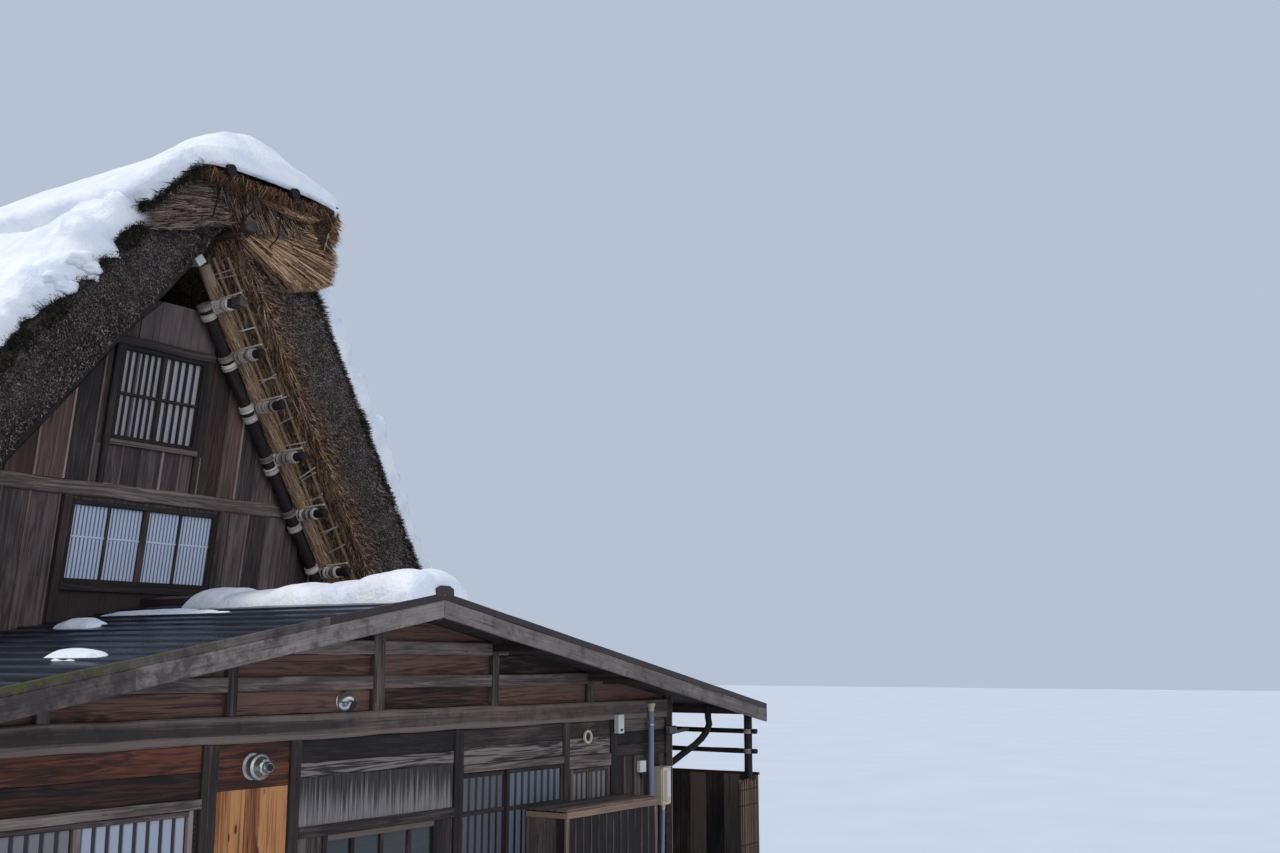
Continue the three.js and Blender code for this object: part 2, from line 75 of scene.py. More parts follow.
def rake_in(z, apex=INNER_APEX):
    return (apex - z) / RAKE


def rake_out(z):
    return (OUTER_APEX - z) / OUTER_RAKE


def ripple(spot):
    return noise.noise(Vector(spot))


# A wall's own directions: x along it, z up it and out from it
def annex(x, z, out):
    return Vector((x, -out, z))


def gable(x, z, out):
    return Vector((x, gable_y(z, out), z))


def rear(x, z, out):
    return Vector((-x, HOUSE_SPAN - gable_y(2.95) + out, z))


def house_side(side):
    return lambda a, z, out: Vector((side * (HOUSE_HALF + out), a, z))


def annex_side(side):
    return lambda a, z, out: Vector((side * (ANNEX_HALF + out), a, z))


def on_roof(x, z, out):
    return Vector((x, -out, roof_top(x) + z))


def turned(point):
    return Vector((-point[0], HOUSE_SPAN - point[1], point[2]))


def rgb(colour):
    """An sRGB colour, written as 0xRRGGBB, as the shader takes it."""
    parts = [(colour >> shift & 255) / 255 for shift in (16, 8, 0)]
    return (*[c / 12.92 if c <= 0.04045 else ((c + 0.055) / 1.055) ** 2.4 for c in parts], 1)


# Materials
class Look:
    def __init__(self, name, rough=0.85, metal=0.0):
        self.material = bpy.data.materials.new(name)
        self.material.use_nodes = True
        self.tree = self.material.node_tree
        self.shader = self.tree.nodes["Principled BSDF"]
        self.shader.inputs["Roughness"].default_value = rough
        self.shader.inputs["Metallic"].default_value = metal

    def node(self, kind, values=(), **settings):
        made = self.tree.nodes.new("ShaderNode" + kind)
        for key, value in settings.items():
            setattr(made, key, value)
        for key, value in dict(values).items():
            self.put(made.inputs[key], value)
        return made

    def put(self, socket, value):
        if isinstance(value, bpy.types.NodeSocket):
            self.tree.links.new(value, socket)
        else:
            socket.default_value = value

    def math(self, kind, a, b=0.0):
        return self.node("Math", {0: a, 1: b}, operation=kind).outputs[0]

    def add(self, total, *terms):
        for term in terms:
            total = self.math("ADD", total, term)
        return total

    def times(self, a, b):
        return self.math("MULTIPLY", a, b)

    def about(self, value, scale, middle=0.5):
        """How far a value lies from its middle, scaled."""
        return self.times(self.add(value, -middle), scale)

    def attribute(self, name):
        return self.node("Attribute", attribute_name=name).outputs["Fac"]

    def grain(self, axis, along, across):
        """Coordinates stretched along the grain: the piece's own unless an axis is named."""
        if axis is None:
            source, scale = self.node("UVMap", uv_map="grain").outputs["UV"], (along, across, 1)
        else:
            source = self.node("TexCoord").outputs["Object"]
            scale = [along if i == axis else across for i in range(3)]
        return self.node("VectorMath", {0: source, 1: scale}, operation="MULTIPLY").outputs[0]

    def place(self, scale=1.0):
        return self.grain(0, scale, scale)

    def noise(self, vector, detail=4.0, rough=0.6, twist=0.0):
        values = {"Vector": vector, "Scale": 1.0, "Detail": detail, "Roughness": rough, "Distortion": twist}
        return self.node("TexNoise", values).outputs["Fac"]

    def ramp(self, factor, *stops):
        made = self.node("ValToRGB", {"Fac": factor})
        band = made.color_ramp.elements
        while len(band) < len(stops):
            band.new(0.5)
        for element, (place, colour) in zip(band, stops):
            element.position = place
            element.color = rgb(colour) if isinstance(colour, int) else (colour, colour, colour, 1)
        return made.outputs["Color"]

    def mix(self, factor, a, b, kind="MIX"):
        made = self.node("Mix", data_type="RGBA", blend_type=kind)
        for socket, value in zip([s for s in made.inputs if s.enabled], (factor, a, b)):
            self.put(socket, value)
        return [s for s in made.outputs if s.enabled][0]

    def finish(self, colour, height=None, bump=0.3, depth=0.01, rough=None):
        self.put(self.shader.inputs["Base Color"], colour)
        if height is not None:
            made = self.node("Bump", {"Height": height, "Strength": bump, "Distance": depth})
            self.put(self.shader.inputs["Normal"], made.outputs["Normal"])
        if rough is not None:
            self.put(self.shader.inputs["Roughness"], rough)
        return self.material


def wood(name, dark, middle, light, axis=None, figure=0.25, blotch=0.35, spread=0.5, knots=0.5):
    """Timber with fibres, rings, blotches, cracks and knots; each board's tone shifts its shade."""
    shine = 0.82
    look = Look(name, shine)
    fibre = look.noise(look.grain(axis, 1.6, 70), 5, 0.7)
    rings = look.noise(look.grain(axis, 0.55, 9), 3, 0.5, 1.6)
    bands = look.math("PINGPONG", look.times(rings, 9.0), 1.0)
    patches = look.noise(look.grain(axis, 1.1, 3.2), 4, 0.6)
    stripes = look.noise(look.grain(axis, 0.7, 24), 4, 0.65)
    share = 0.5 * (0.85 - blotch * 0.5)
    tone = look.add(look.times(look.attribute("tone"), spread), -0.12 * figure)
    blend = look.add(look.times(fibre, share), look.times(stripes, share),
                     look.times(bands, figure * 0.6), look.times(patches, blotch), tone)
    blend = look.add(look.about(blend, 1.5, 0.52), 0.48)
    colour = look.ramp(blend, (0.22, dark), (0.5, middle), (0.8, light))
    cracks = look.ramp(look.noise(look.grain(axis, 0.5, 38), 3, 0.6, 0.4), (0.3, 0.0), (0.37, 1.0))
    colour = look.mix(0.8, colour, cracks, "MULTIPLY")
    spots = look.node("TexVoronoi", {"Vector": look.grain(axis, 3.2, 8.5), "Scale": 1.0})
    knot = look.ramp(spots.outputs["Distance"], (0.05 + 0.06 * knots, 0.15), (0.08 + 0.09 * knots, 1.0))
    colour = look.mix(min(1.0, knots * 1.6), colour, knot, "MULTIPLY")
    height = look.add(look.times(fibre, 0.6), look.times(cracks, 0.5), look.times(bands, figure * 0.5))
    rough = look.add(look.times(fibre, 0.25), shine - 0.12)
    return look.finish(colour, height, 0.55, 0.006, rough)


DARK = wood("dark_boards", 0x181210, 0x3A2F2B, 0x6C5E57, knots=0.15)
GREY = wood("grey_timber", 0x261F1D, 0x5E514C, 0x988A82, knots=0.3)
RED = wood("red_boards", 0x1E110D, 0x462D25, 0x705246, figure=0.45, knots=0.3)
ROSE = wood("rose_boards", 0x180D0A, 0x44251B, 0x76422A, figure=0.35, blotch=0.5, knots=0.25)
GABLE = wood("gable_boards", 0x221B1B, 0x483C3B, 0x746662, knots=0.3)
GABLE_RED = wood("gable_boards_red", 0x2C1C19, 0x503A35, 0x745E56)
PANEL = wood("gable_panel", 0x342A2A, 0x544847, 0x706360, figure=0.1, blotch=0.5, knots=0.0)
STRIP = wood("pale_strips", 0x4A3D39, 0x74635B, 0xA08D82, knots=0.2)
BURNT = wood("orange_boards", 0x502A16, 0xA06236, 0xCA8E5A, figure=0.3, knots=0.9)
GRAIN = wood("grained_boards", 0x1C1817, 0x463E3C, 0x847A74, figure=0.9, spread=0.3, knots=0.2)
BLACK = wood("black_logs", 0x0C0707, 0x221817, 0x52403A, spread=0.35, knots=0.2)
RED_BEAM = wood("red_beams", 0x1A0C0B, 0x3A211E, 0x624038, knots=0.2)
BARK = wood("bark_boards", 0x1A1514, 0x423833, 0x706157, blotch=0.5, knots=0.2)
PALE = wood("pale_rail", 0x46342C, 0x6E5546, 0x967C68, knots=0.2)
GREY_X = wood("grey_timber_x", 0x282221, 0x625752, 0x9E938C, axis=0)
DARK_X = wood("dark_timber_x", 0x16110F, 0x322824, 0x584A43, axis=0)
DARK_Y = wood("dark_timber_y", 0x16110F, 0x322824, 0x584A43, axis=1)
DARK_Z = wood("dark_timber_z", 0x181211, 0x3A302D, 0x685C56, axis=2)
FLOOR_Y = wood("floor_boards_y", 0x463222, 0x7A6046, 0xA08466, axis=1)


def streaked_wood():
    """Pale upright boards with black drips that run down from their tops."""
    look = Look("streaked_boards", 0.85)
    fibre = look.noise(look.grain(None, 1.6, 70), 5, 0.7)
    colour = look.ramp(fibre, (0.25, 0x4C4546), (0.75, 0xA8A09D))
    height = look.node("SeparateXYZ", {0: look.place()}).outputs[2]
    level = look.math("DIVIDE", look.add(height, -1.7), 0.44)
    drips = look.noise(look.grain(None, 0.5, 32), 4, 0.65)
    level = look.add(level, look.about(drips, 3.0))
    stain = look.ramp(level, (0.2, 1.0), (0.7, 0.13))
    colour = look.mix(0.92, colour, stain, "MULTIPLY")
    return look.finish(colour, fibre, 0.5, 0.005)


STREAKED = streaked_wood()


def thatch(name, bristle=False):
    """Straw that runs with the zone: warm on the verge's inner part, then cut grey, then mossy."""
    look = Look(name, 0.95)
    if bristle:
        fine = look.add(look.attribute("tone"), 0.5)
    else:
        fine = look.add(look.about(look.noise(look.place(55), 3, 0.7), 2.6), 0.42)
    clump = look.noise(look.place(7), 4, 0.65)
    speck = look.noise(look.place(70), 2, 0.5)
    fine = look.add(fine, look.about(clump, 0.6), look.about(speck, 0.8))
    cut = look.ramp(fine, (0.1, 0x201A1A), (0.5, 0x5A4E4B), (0.95, 0xB6A8A0))
    warm = look.ramp(fine, (0.1, 0x2E1D16), (0.5, 0x765640), (0.95, 0xC4A282))
    moss = look.ramp(fine, (0.2, 0x0A0A09), (0.6, 0x191813), (0.95, 0x403C28))
    place = look.add(look.attribute("zone"), look.about(clump, 0.25))
    colour = look.mix(look.ramp(place, (0.24, 0.0), (0.42, 1.0)), warm, cut)
    colour = look.mix(look.ramp(place, (0.78, 0.0), (0.9, 1.0)), colour, moss)
    return look.finish(colour, None if bristle else look.add(fine, clump), 1.0, 0.03)


THATCH = thatch("thatch_mass")
BRISTLE = thatch("thatch_straws", True)


def straw(name, dark, middle, light, twist=0.6):
    look = Look(name, 0.85)
    fine = look.noise(look.grain(None, 3, 120), 3, 0.7, twist)
    fine = look.add(fine, look.times(look.attribute("tone"), 0.7))
    colour = look.ramp(fine, (0.2, dark), (0.5, middle), (0.85, light))
    return look.finish(colour, fine, 0.6, 0.006)


ROLL_STRAW = straw("straw_roll", 0x56483E, 0x948271, 0xC6B5A2)
ROPE = straw("straw_rope", 0x6C615B, 0xB8AEA5, 0xECE5DC, 2.0)
REED = straw("reeds", 0x2E221B, 0x5E4C3D, 0x8E7862)
STICK = straw("pale_sticks", 0x5C4838, 0x967E66, 0xC4AE94)


def loose_straw():
    """Straw whose colour changes from one stalk to the next and along each one."""
    look = Look("loose_straw", 0.9)
    zone = look.attribute("zone")
    fine = look.add(look.attribute("tone"), look.noise(look.place(42), 3, 0.7))
    grey = look.ramp(fine, (0.1, 0x221B1A), (0.5, 0x685850), (0.95, 0xBAA89A))
    brown = look.ramp(fine, (0.1, 0x281812), (0.5, 0x745039), (0.95, 0xC2946C))
    tan = look.ramp(fine, (0.1, 0x3A261B), (0.5, 0xA27C5C), (0.95, 0xE2BE96))
    colour = look.mix(look.ramp(zone, (0.2, 0.0), (0.4, 1.0)), brown, tan)
    colour = look.mix(look.ramp(zone, (0.6, 0.0), (0.8, 1.0)), colour, grey)
    return look.finish(colour)


LOOSE = loose_straw()


def snow():
    look = Look("snow", 0.55)
    broad = look.noise(look.place(2.2), 4, 0.6)
    fine = look.noise(look.place(38), 4, 0.7)
    colour = look.ramp(broad, (0.3, 0xE2E9F6), (0.62, 0xFAFCFF))
    look.shader.inputs["Subsurface Weight"].default_value = 0.12
    look.shader.inputs["Subsurface Radius"].default_value = (0.05, 0.06, 0.08)
    medium = look.noise(look.place(9), 4, 0.65)
    height = look.add(look.times(broad, 0.6), look.times(fine, 0.25), look.times(medium, 0.8))
    return look.finish(colour, height, 0.7, 0.05)


SNOW = snow()


def metal(name, dark, light, shine, metallic, axis=None, along=0.5, across=30, bump=0.2):
    look = Look(name, shine, metallic)
    fine = look.noise(look.place(40) if axis is None else look.grain(axis, along, across), 4, 0.7)
    broad = look.noise(look.place(1.7), 5, 0.65)
    tone = look.times(look.attribute("tone"), 0.5)
    blend = look.add(look.times(fine, 0.45), look.times(broad, 0.55), tone)
    colour = look.ramp(blend, (0.3, dark), (0.7, light))
    rough = look.add(look.times(broad, 0.3), shine - 0.15)
    return look.finish(colour, fine, bump, 0.002, rough)


SHEET = metal("roof_sheet", 0x10131C, 0x30384A, 0.3, 0.2, 1, 0.4, 18)
FLASHING = metal("brown_flashing", 0x281D1D, 0x4C3C3B, 0.5, 0.2)
CAP_RED = metal("red_brown_cap", 0x321612, 0x603228, 0.5, 0.4)
STEEL = metal("bright_steel", 0x969694, 0xD4D4D0, 0.32, 0.85, bump=0.08)
PIPE = metal("pipe_plastic", 0x60667A, 0x9096AC, 0.5, 0.0, 2, 0.6, 22)
CREAM = metal("cream_plastic", 0xB8AB93, 0xDED1BC, 0.5, 0.0, bump=0.1)
WHITE = metal("white_plastic", 0xBEBEBA, 0xE2E2DE, 0.45, 0.0, bump=0.1)
RUBBER = metal("black_rubber", 0x0E0E10, 0x28282C, 0.7, 0.0)


def weathered(name, dark, middle, light, wet_edge, moss_edge=False):
    """Old timber that is darker to the left; wet_edge says how much of it is stained."""
    look = Look(name, 0.85)
    fibre = look.noise(look.grain(None, 1.2, 60), 5, 0.7)
    patches = look.noise(look.place(3.1), 5, 0.65)
    tone = look.times(look.attribute("tone"), 0.5)
    blend = look.add(look.times(fibre, 0.6), look.times(patches, 0.4), tone)
    colour = look.ramp(blend, (0.25, dark), (0.5, middle), (0.8, light))
    x, _, z = look.node("SeparateXYZ", {0: look.place()}).outputs
    left = look.ramp(look.times(x, -0.17), (0.1, 0.0), (0.8, 1.0))
    wet = look.add(look.noise(look.place(5.5), 5, 0.7), look.times(left, wet_edge))
    colour = look.mix(look.ramp(wet, (0.52, 0.0), (0.72, 0.7)), colour, rgb(0x201A18))
    if moss_edge:
        depth = look.add(z, look.times(look.math("ABSOLUTE", x), ROOF_FALL))
        edge = look.math("MAXIMUM", look.about(depth, 2.2, 3.72), 0.0)
        green = look.add(look.noise(look.place(11), 4, 0.7), look.times(left, edge))
        colour = look.mix(look.ramp(green, (0.68, 0.0), (0.76, 1.0)), colour, rgb(0x4C4C26))
    else:
        # pale along both edges, dark between them, and paler to the right
        streaks = look.noise(look.grain(None, 0.35, 16), 4, 0.65)
        level = look.math("DIVIDE", look.add(z, -BEAM_FOOT), BEAM_TOP - BEAM_FOOT)
        level = look.add(level, look.about(streaks, 0.7))
        dark_part = look.ramp(level, (0.2, 0.0), (0.34, 0.8), (0.66, 0.8), (0.84, 0.0))
        left_part = look.ramp(look.times(x, -0.5), (0.1, 0.25), (0.3, 1.0))
        edges = look.ramp(level, (0.2, 0.75), (0.3, 0.0), (0.76, 0.0), (0.9, 0.45))
        colour = look.mix(edges, colour, rgb(0x807169))
        colour = look.mix(look.times(dark_part, left_part), colour, rgb(0x2E2524))
    cracks = look.ramp(look.noise(look.grain(None, 0.4, 30), 3, 0.6, 0.4), (0.32, 0.2), (0.38, 1.0))
    colour = look.mix(0.8, colour, cracks, "MULTIPLY")
    return look.finish(colour, look.add(fibre, cracks), 0.5, 0.006)


BARGE = weathered("bargeboard_wood", 0x342D2B, 0x6A605B, 0x9E948D, 0.22, True)
BEAM = weathered("main_beam_wood", 0x2A2220, 0x60524C, 0x9C8D84, 0.0)


def panes(name, dark, light, ends, shine=0.4):
    """Translucent sheet: a rib's crest has tone 0.5 and its valley -0.5."""
    look = Look(name, shine)
    tone = look.add(look.attribute("tone"), 0.5)
    stains = look.noise(look.grain(None, 0.8, 14), 4, 0.7)
    blend = look.add(tone, look.about(stains, 0.55))
    colour = look.ramp(blend, (0.15, dark), (0.5, light), (0.95, ends))
    return look.finish(colour, stains, 0.15, 0.002)


PAPER = panes("gable_panes", 0x647490, 0x92A2BE, 0xC8D1E2)
LATTICE = panes("lattice_panes", 0x4A4244, 0x867F84, 0xACA7AC)
CORRUGATED = panes("blue_panes", 0x2C2626, 0x767E8C, 0xACB3BE)
CLOUDED = panes("grey_panes", 0x282323, 0x5C585A, 0x7E7A7C)
DOOR_PANE = panes("door_panes", 0x1C191B, 0x393539, 0x5A585E)
BLUE_PANE = panes("dark_blue_panes", 0x18161B, 0x2D2E39, 0x646978)
GLASS = panes("dark_glass", 0x1A1C1E, 0x383E42, 0x60686C, 0.12)


# A mesh under construction
class Build:
    def __init__(self):
        self.verts, self.faces, self.uvs, self.tones, self.looks = [], [], [], [], []

    def skin(self, rings, tone=0.0, look=0, tones=None):
        """A closed skin over rings with the same number of points."""
        count, base = len(rings[0]), len(self.verts)
        u, v = [rng.uniform(0, 40)], [rng.uniform(0, 40)]
        for a, b in zip(rings, rings[1:]):
            u.append(u[-1] + (b[0] - a[0]).length)
        for i in range(count):
            v.append(v[-1] + (rings[0][(i + 1) % count] - rings[0][i]).length)
        for ring in rings:
            self.verts.extend(ring)
            self.tones.extend(tones if tones else [tone] * count)
        for r in range(len(rings) - 1):
            for i in range(count):
                j = (i + 1) % count
                low, high = base + r * count, base + (r + 1) * count
                self.faces.append((low + i, low + j, high + j, high + i))
                self.uvs.extend([(u[r], v[i]), (u[r], v[i + 1]), (u[r + 1], v[i + 1]), (u[r + 1], v[i])])
                self.looks.append(look)
        last = base + (len(rings) - 1) * count
        for start, order in ((base, range(count - 1, -1, -1)), (last, range(count))):
            self.faces.append(tuple(start + i for i in order))
            self.uvs.extend([(u[0] + 0.02 * cos(i), v[i]) for i in order])
            self.looks.append(look)


def value(x, level):
    return level(x) if callable(level) else level


def board(build, place, x, z, out, grain="x", tone=None, look=0, rough=0.002, corner=0.004, cap=None,
          step=0.4, fine=1):
    """A board on a wall; x, z and out are its ranges there. Its edges wander by about rough."""
    tone = rng.uniform(-0.5, 0.5) if tone is None else tone
    across = z if grain == "x" else x
    length = x[1] - x[0] if grain == "x" else value(x[0], z[1]) - value(x[0], z[0])
    count = max(2, math.ceil(abs(length) / step) + 1)
    (a0, a1), (o0, o1) = across, out
    fronts = [(a1 - corner + (a0 - a1 + 2 * corner) * k / fine, o1) for k in range(fine + 1)]
    section = [(a0, o0), (a1, o0), (a1, o1 - corner), *fronts, (a0, o1 - corner)]
    rings = []
    for k in range(count):
        t = k / (count - 1)
        ring = []
        for a, o in section:
            if grain == "x":
                point = [x[0] + (x[1] - x[0]) * t, a, o]
            else:
                point = [a, value(a, z[0]) + (value(a, z[1]) - value(a, z[0])) * t, o]
            spot = Vector((point[0] * 1.9, point[1] * 1.9, o * 9 + tone * 31))
            wander = noise.noise_vector(spot) * rough
            side = 1 if grain == "x" else 0
            point[side] += wander[0]
            if o > o0:
                point[2] += wander[1]
            if cap:
                point[1] = min(point[1], cap(point[0]))
            ring.append(place(*point))
        rings.append(ring)
    build.skin(rings, tone, look)


def sideways(way):
    guide = Vector((0, 0, 1)) if abs(way.z) < 0.9 else Vector((1, 0, 0))
    return guide.cross(way).normalized()


def rod(build, points, radius, sides=8, tone=0.0, look=0, rough=0.0, spin=0.0):
    """A round rod or rope along points; radius may be a list."""
    points = [Vector(p) for p in points]
    rings, across = [], None
    for k, point in enumerate(points):
        way = (points[min(k + 1, len(points) - 1)] - points[max(k - 1, 0)]).normalized()
        across = across or sideways(way)
        across = (across - way * across.dot(way)).normalized()
        up = way.cross(across)
        size = radius[k] if isinstance(radius, (list, tuple)) else radius
        ring = []
        for i in range(sides):
            turn = 2 * pi * (i + spin) / sides
            spot = point + (across * cos(turn) + up * sin(turn)) * size
            if rough:
                spot += (spot - point) * (ripple(spot * 5.1) * rough / size)
            ring.append(spot)
        rings.append(ring)
    build.skin(rings, tone, look)


def line(a, b, count):
    return [Vector(a).lerp(Vector(b), k / (count - 1)) for k in range(count)]


def lashing(build, centre, way, radius, width, turns, look, tone=0.0):
    """Rope wound side by side round a pole; each turn is a ring of its own."""
    way = Vector(way).normalized()
    pitch = width / turns
    for k in range(turns):
        middle = Vector(centre) + way * (width * ((k + 0.5) / turns - 0.5))
        points = [middle + way * (pitch * share) for share in (-0.47, -0.2, 0.2, 0.47)]
        swell = radius + rng.uniform(0.006, 0.012)
        sizes = [radius - 0.002, swell, swell, radius - 0.002]
        rod(build, points, sizes, 12, tone + rng.uniform(-0.3, 0.3), look)


def ribbed(build, place, x, z, out, pitch, height, look=0, crest=0.6):
    """A sheet with upright ribs, whose crests and valleys have tones of their own."""
    count = max(1, round((x[1] - x[0]) / pitch))
    pitch = (x[1] - x[0]) / count
    rise = pitch * (1 - crest) / 4
    edges = [(x[0], 0)]
    for k in range(count):
        at = x[0] + pitch * k + rise
        end = at + rise + pitch * crest
        edges += [(at, 0), (at + rise, 1), (end, 1), (end + rise, 0)]
    edges.append((x[1], 0))
    front = [(a, out + height * up, up - 0.5) for a, up in edges]
    section = [*front, *[(a, out - 0.003, -0.5) for a in (x[1], x[0])]]
    rings = [[place(a, end, o) for a, o, _ in section] for end in z]
    build.skin(rings, look=look, tones=[tone for _, _, tone in section])


def piece(name, build, looks, slot, *replaces, body="house", smooth=False, turn=False, zone=None):
    """An object from a build, with every closed part's faces turned outwards."""
    verts = [turned(p) for p in build.verts] if turn else build.verts
    mesh = bpy.data.meshes.new(name)
    mesh.from_pydata([tuple(p) for p in verts], [], build.faces)
    mesh.polygons.foreach_set("material_index", build.looks)
    layer = mesh.uv_layers.new(name="grain")
    layer.data.foreach_set("uv", np.array(build.uvs, np.float32).ravel())
    mark(mesh, "tone", build.tones)
    if zone is not None:
        mark(mesh, "zone", zone)
    made = ready(name, mesh, looks, slot, body, replaces, smooth)
    work = bmesh.new()
    work.from_mesh(mesh)
    bmesh.ops.recalc_face_normals(work, faces=work.faces)
    work.to_mesh(mesh)
    work.free()
    return made


def mark(mesh, name, values):
    mesh.attributes.new(name, "FLOAT", "POINT").data.foreach_set("value", np.asarray(values, np.float32))


def ready(name, mesh, looks, slot, body="house", replaces=(), smooth=False):
    for look in looks:
        mesh.materials.append(look)
    mesh.polygons.foreach_set("use_smooth", [smooth] * len(mesh.polygons))
    mesh.validate()
    made = bpy.data.objects.new(name, mesh)
    bpy.context.scene.collection.objects.link(made)
    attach(made, body)
    if replaces:
        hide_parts(*replaces)
    return made


def rounded_metal(made):
    """Smooth shading that keeps the edges above 35 degrees."""
    made.data.polygons.foreach_set("use_smooth", [True] * len(made.data.polygons))
    made.data.set_sharp_from_angle(angle=math.radians(35))


# Square to a right-hand rake's line and away from the house
ACROSS_RAKE = np.array([0.797, 0, 0.604])


def unit(rows):
    """An array's rows, each of length 1."""
    return rows / np.linalg.norm(rows, axis=1)[:, None]


def straws(name, base, tip, radius, tone, zone, look, slot="thatch"):
    """Many closed three-sided straws, each from a base point to a fine tip."""
    base, tip, radius = np.asarray(base), np.asarray(tip), np.asarray(radius)[:, None]
    way = unit(tip - base)
    guide = np.where(np.abs(way[:, 2:]) < 0.9, [[0, 0, 1.0]], [[1.0, 0, 0]])
    across = unit(np.cross(guide, way))
    up = np.cross(way, across)
    count = len(base)
    turns = [2 * pi * k / 3 for k in range(3)]
    corners = [base + (across * cos(t) + up * sin(t)) * radius for t in turns]
    verts = np.stack([*corners, tip], 1).reshape(-1, 3)
    pattern = np.array([[0, 1, 3], [1, 2, 3], [2, 0, 3], [0, 2, 1]])
    faces = (np.arange(count)[:, None, None] * 4 + pattern).reshape(-1, 3)
    mesh = bpy.data.meshes.new(name)
    mesh.from_pydata(verts, [], faces.tolist())
    layer = mesh.uv_layers.new(name="grain")
    layer.data.foreach_set("uv", np.tile([0.0, 0, 0.01, 0, 0, 0.1], len(faces)).astype(np.float32))
    mark(mesh, "tone", np.repeat(tone, 4))
    mark(mesh, "zone", np.repeat(zone, 4))
    ready(name, mesh, [look], slot)


def along(points, shares):
    """Places at shares of the way along a line of points."""
    points = np.array(points)
    steps = np.concatenate([[0], np.cumsum(np.linalg.norm(np.diff(points, axis=0), axis=1))])
    return np.stack([np.interp(shares * steps[-1], steps, points[:, k]) for k in range(points.shape[1])], 1)


def before_gable(points, out):
    """Points of an array of [x, z] pairs, out metres in front of the leaning gable."""
    x, z = points[..., 0], points[..., 1]
    return np.stack([x, gable_y(z, out), z], -1)


def opposite(points):
    """An array's points at the house's other end."""
    return points * [-1, -1, 1] + [0, HOUSE_SPAN, 0]


def dress(look, *names):
    for name in names:
        materials = nodes[name].data.materials
        for k in range(len(materials)):
            materials[k] = look


# Camera, light and floor
VIEW_FROM = Vector((-10.005, -9.754, 3.2))
PITCH = math.radians(9.9)
camera = bpy.data.objects.new("camera", bpy.data.cameras.new("camera"))
bpy.context.scene.collection.objects.link(camera)
bpy.context.scene.camera = camera
camera.data.sensor_width, camera.data.lens = 36, 38.0
camera.data.clip_end = 400
camera.location = VIEW_FROM
ahead = Vector((0.835 * cos(PITCH), 0.550 * cos(PITCH), sin(PITCH)))
camera.rotation_mode = "QUATERNION"
camera.rotation_quaternion = ahead.to_track_quat("-Z", "Y")

world = bpy.data.worlds.new("studio")
bpy.context.scene.world = world
world.use_nodes = True
world.node_tree.nodes["Background"].inputs["Color"].default_value = (0.67, 0.765, 0.93, 1)
world.node_tree.nodes["Background"].inputs["Strength"].default_value = 0.7
bpy.context.scene.view_settings.view_transform = "Standard"
LAMPS = (("key", 1.7, 7, (0.5, -0.36, -0.78)), ("fill", 0.6, 50, (0.35, 0.9, -0.2)))
for name, power, angle, way in LAMPS:
    lamp = bpy.data.lights.new(name, "SUN")
    lamp.energy, lamp.angle = power, math.radians(angle)
    lamp.color = (1.0, 0.96, 0.9)
    holder = bpy.data.objects.new(name, lamp)
    holder.rotation_mode = "QUATERNION"
    holder.rotation_quaternion = Vector(way).to_track_quat("-Z", "Y")
    bpy.context.scene.collection.objects.link(holder)

ground = bpy.data.meshes.new("studio_floor")
FAR, GROUND = 160, -0.004
corners = ((-1, -1), (1, -1), (1, 1), (-1, 1))
ground.from_pydata([(FAR * x, FAR * y, GROUND) for x, y in corners], [], [(0, 1, 2, 3)])
floor_look = Look("studio_floor", 0.9)
floor_tone = floor_look.noise(floor_look.place(0.4), 3)
ground.materials.append(floor_look.finish(floor_look.ramp(floor_tone, (0.3, 0xCDD4DE), (0.7, 0xD4DAE3))))
studio_floor = bpy.data.objects.new("studio_floor", ground)
bpy.context.scene.collection.objects.link(studio_floor)


# Boards and windows on the walls
def plank(build, place, x, z, out, look=0, tone=None):
    """A wide board that lies across a wall."""
    board(build, place, x, z, out, "x", tone, look, 0.003, step=0.3)


def rows(build, place, x, levels, out, looks):
    """Boards that lie across a wall, from a list of heights."""
    for low, high, look in zip(levels, levels[1:], looks):
        plank(build, place, x, (low + 0.002, high - 0.002), out, look)


def uprights(build, place, x, z, out, pitch, looks=(0,), strip=None, cap=None, tone=None):
    """Boards that stand side by side, with cover strips of look strip over their joints."""
    at = x[0]
    over = (out[1] - 0.002, out[1] + 0.016)
    while at < x[1] - 0.02:
        end = min(x[1], at + pitch * rng.uniform(0.85, 1.15))
        if x[1] - end < pitch * 0.3:
            end = x[1]
        look = rng.choice(looks)
        board(build, place, (at + 0.0015, end - 0.0015), z, out, "z", tone, look, cap=cap)
        if strip is not None and end < x[1]:
            shade = rng.uniform(-0.6, 0.4)
            board(build, place, (end - 0.02, end + 0.02), z, over, "z", shade, strip, cap=cap)
        at = end


def frame_bars(build, place, x, z, out, rail, bars=(), wide=0.044, sills=(), tone=None):
    """A window's frame, with upright bars and sills in it."""
    inner_x, inner_z = (x[0] + rail, x[1] - rail), (z[0] + rail, z[1] - rail)
    for side in ((x[0], x[0] + rail), (x[1] - rail, x[1])):
        board(build, place, side, z, out, "z", tone, corner=0.006)
    for low in (z[0], z[1] - rail):
        board(build, place, inner_x, (low, low + rail), out, "x", tone, corner=0.006)
    for bar in bars:
        board(build, place, (bar - wide / 2, bar + wide / 2), inner_z, (out[0] + 0.01, out[1] - 0.012), "z")
    for sill in sills:
        board(build, place, inner_x, (sill, sill + 0.03), (out[0] + 0.01, out[1] - 0.016), "x")


# The annex's front: the heights of its posts' ends and its boards' depths
POST = (0.081, 2.491)
SKIN, THIN_SKIN = (0.0155, 0.034), (0.0155, 0.03)


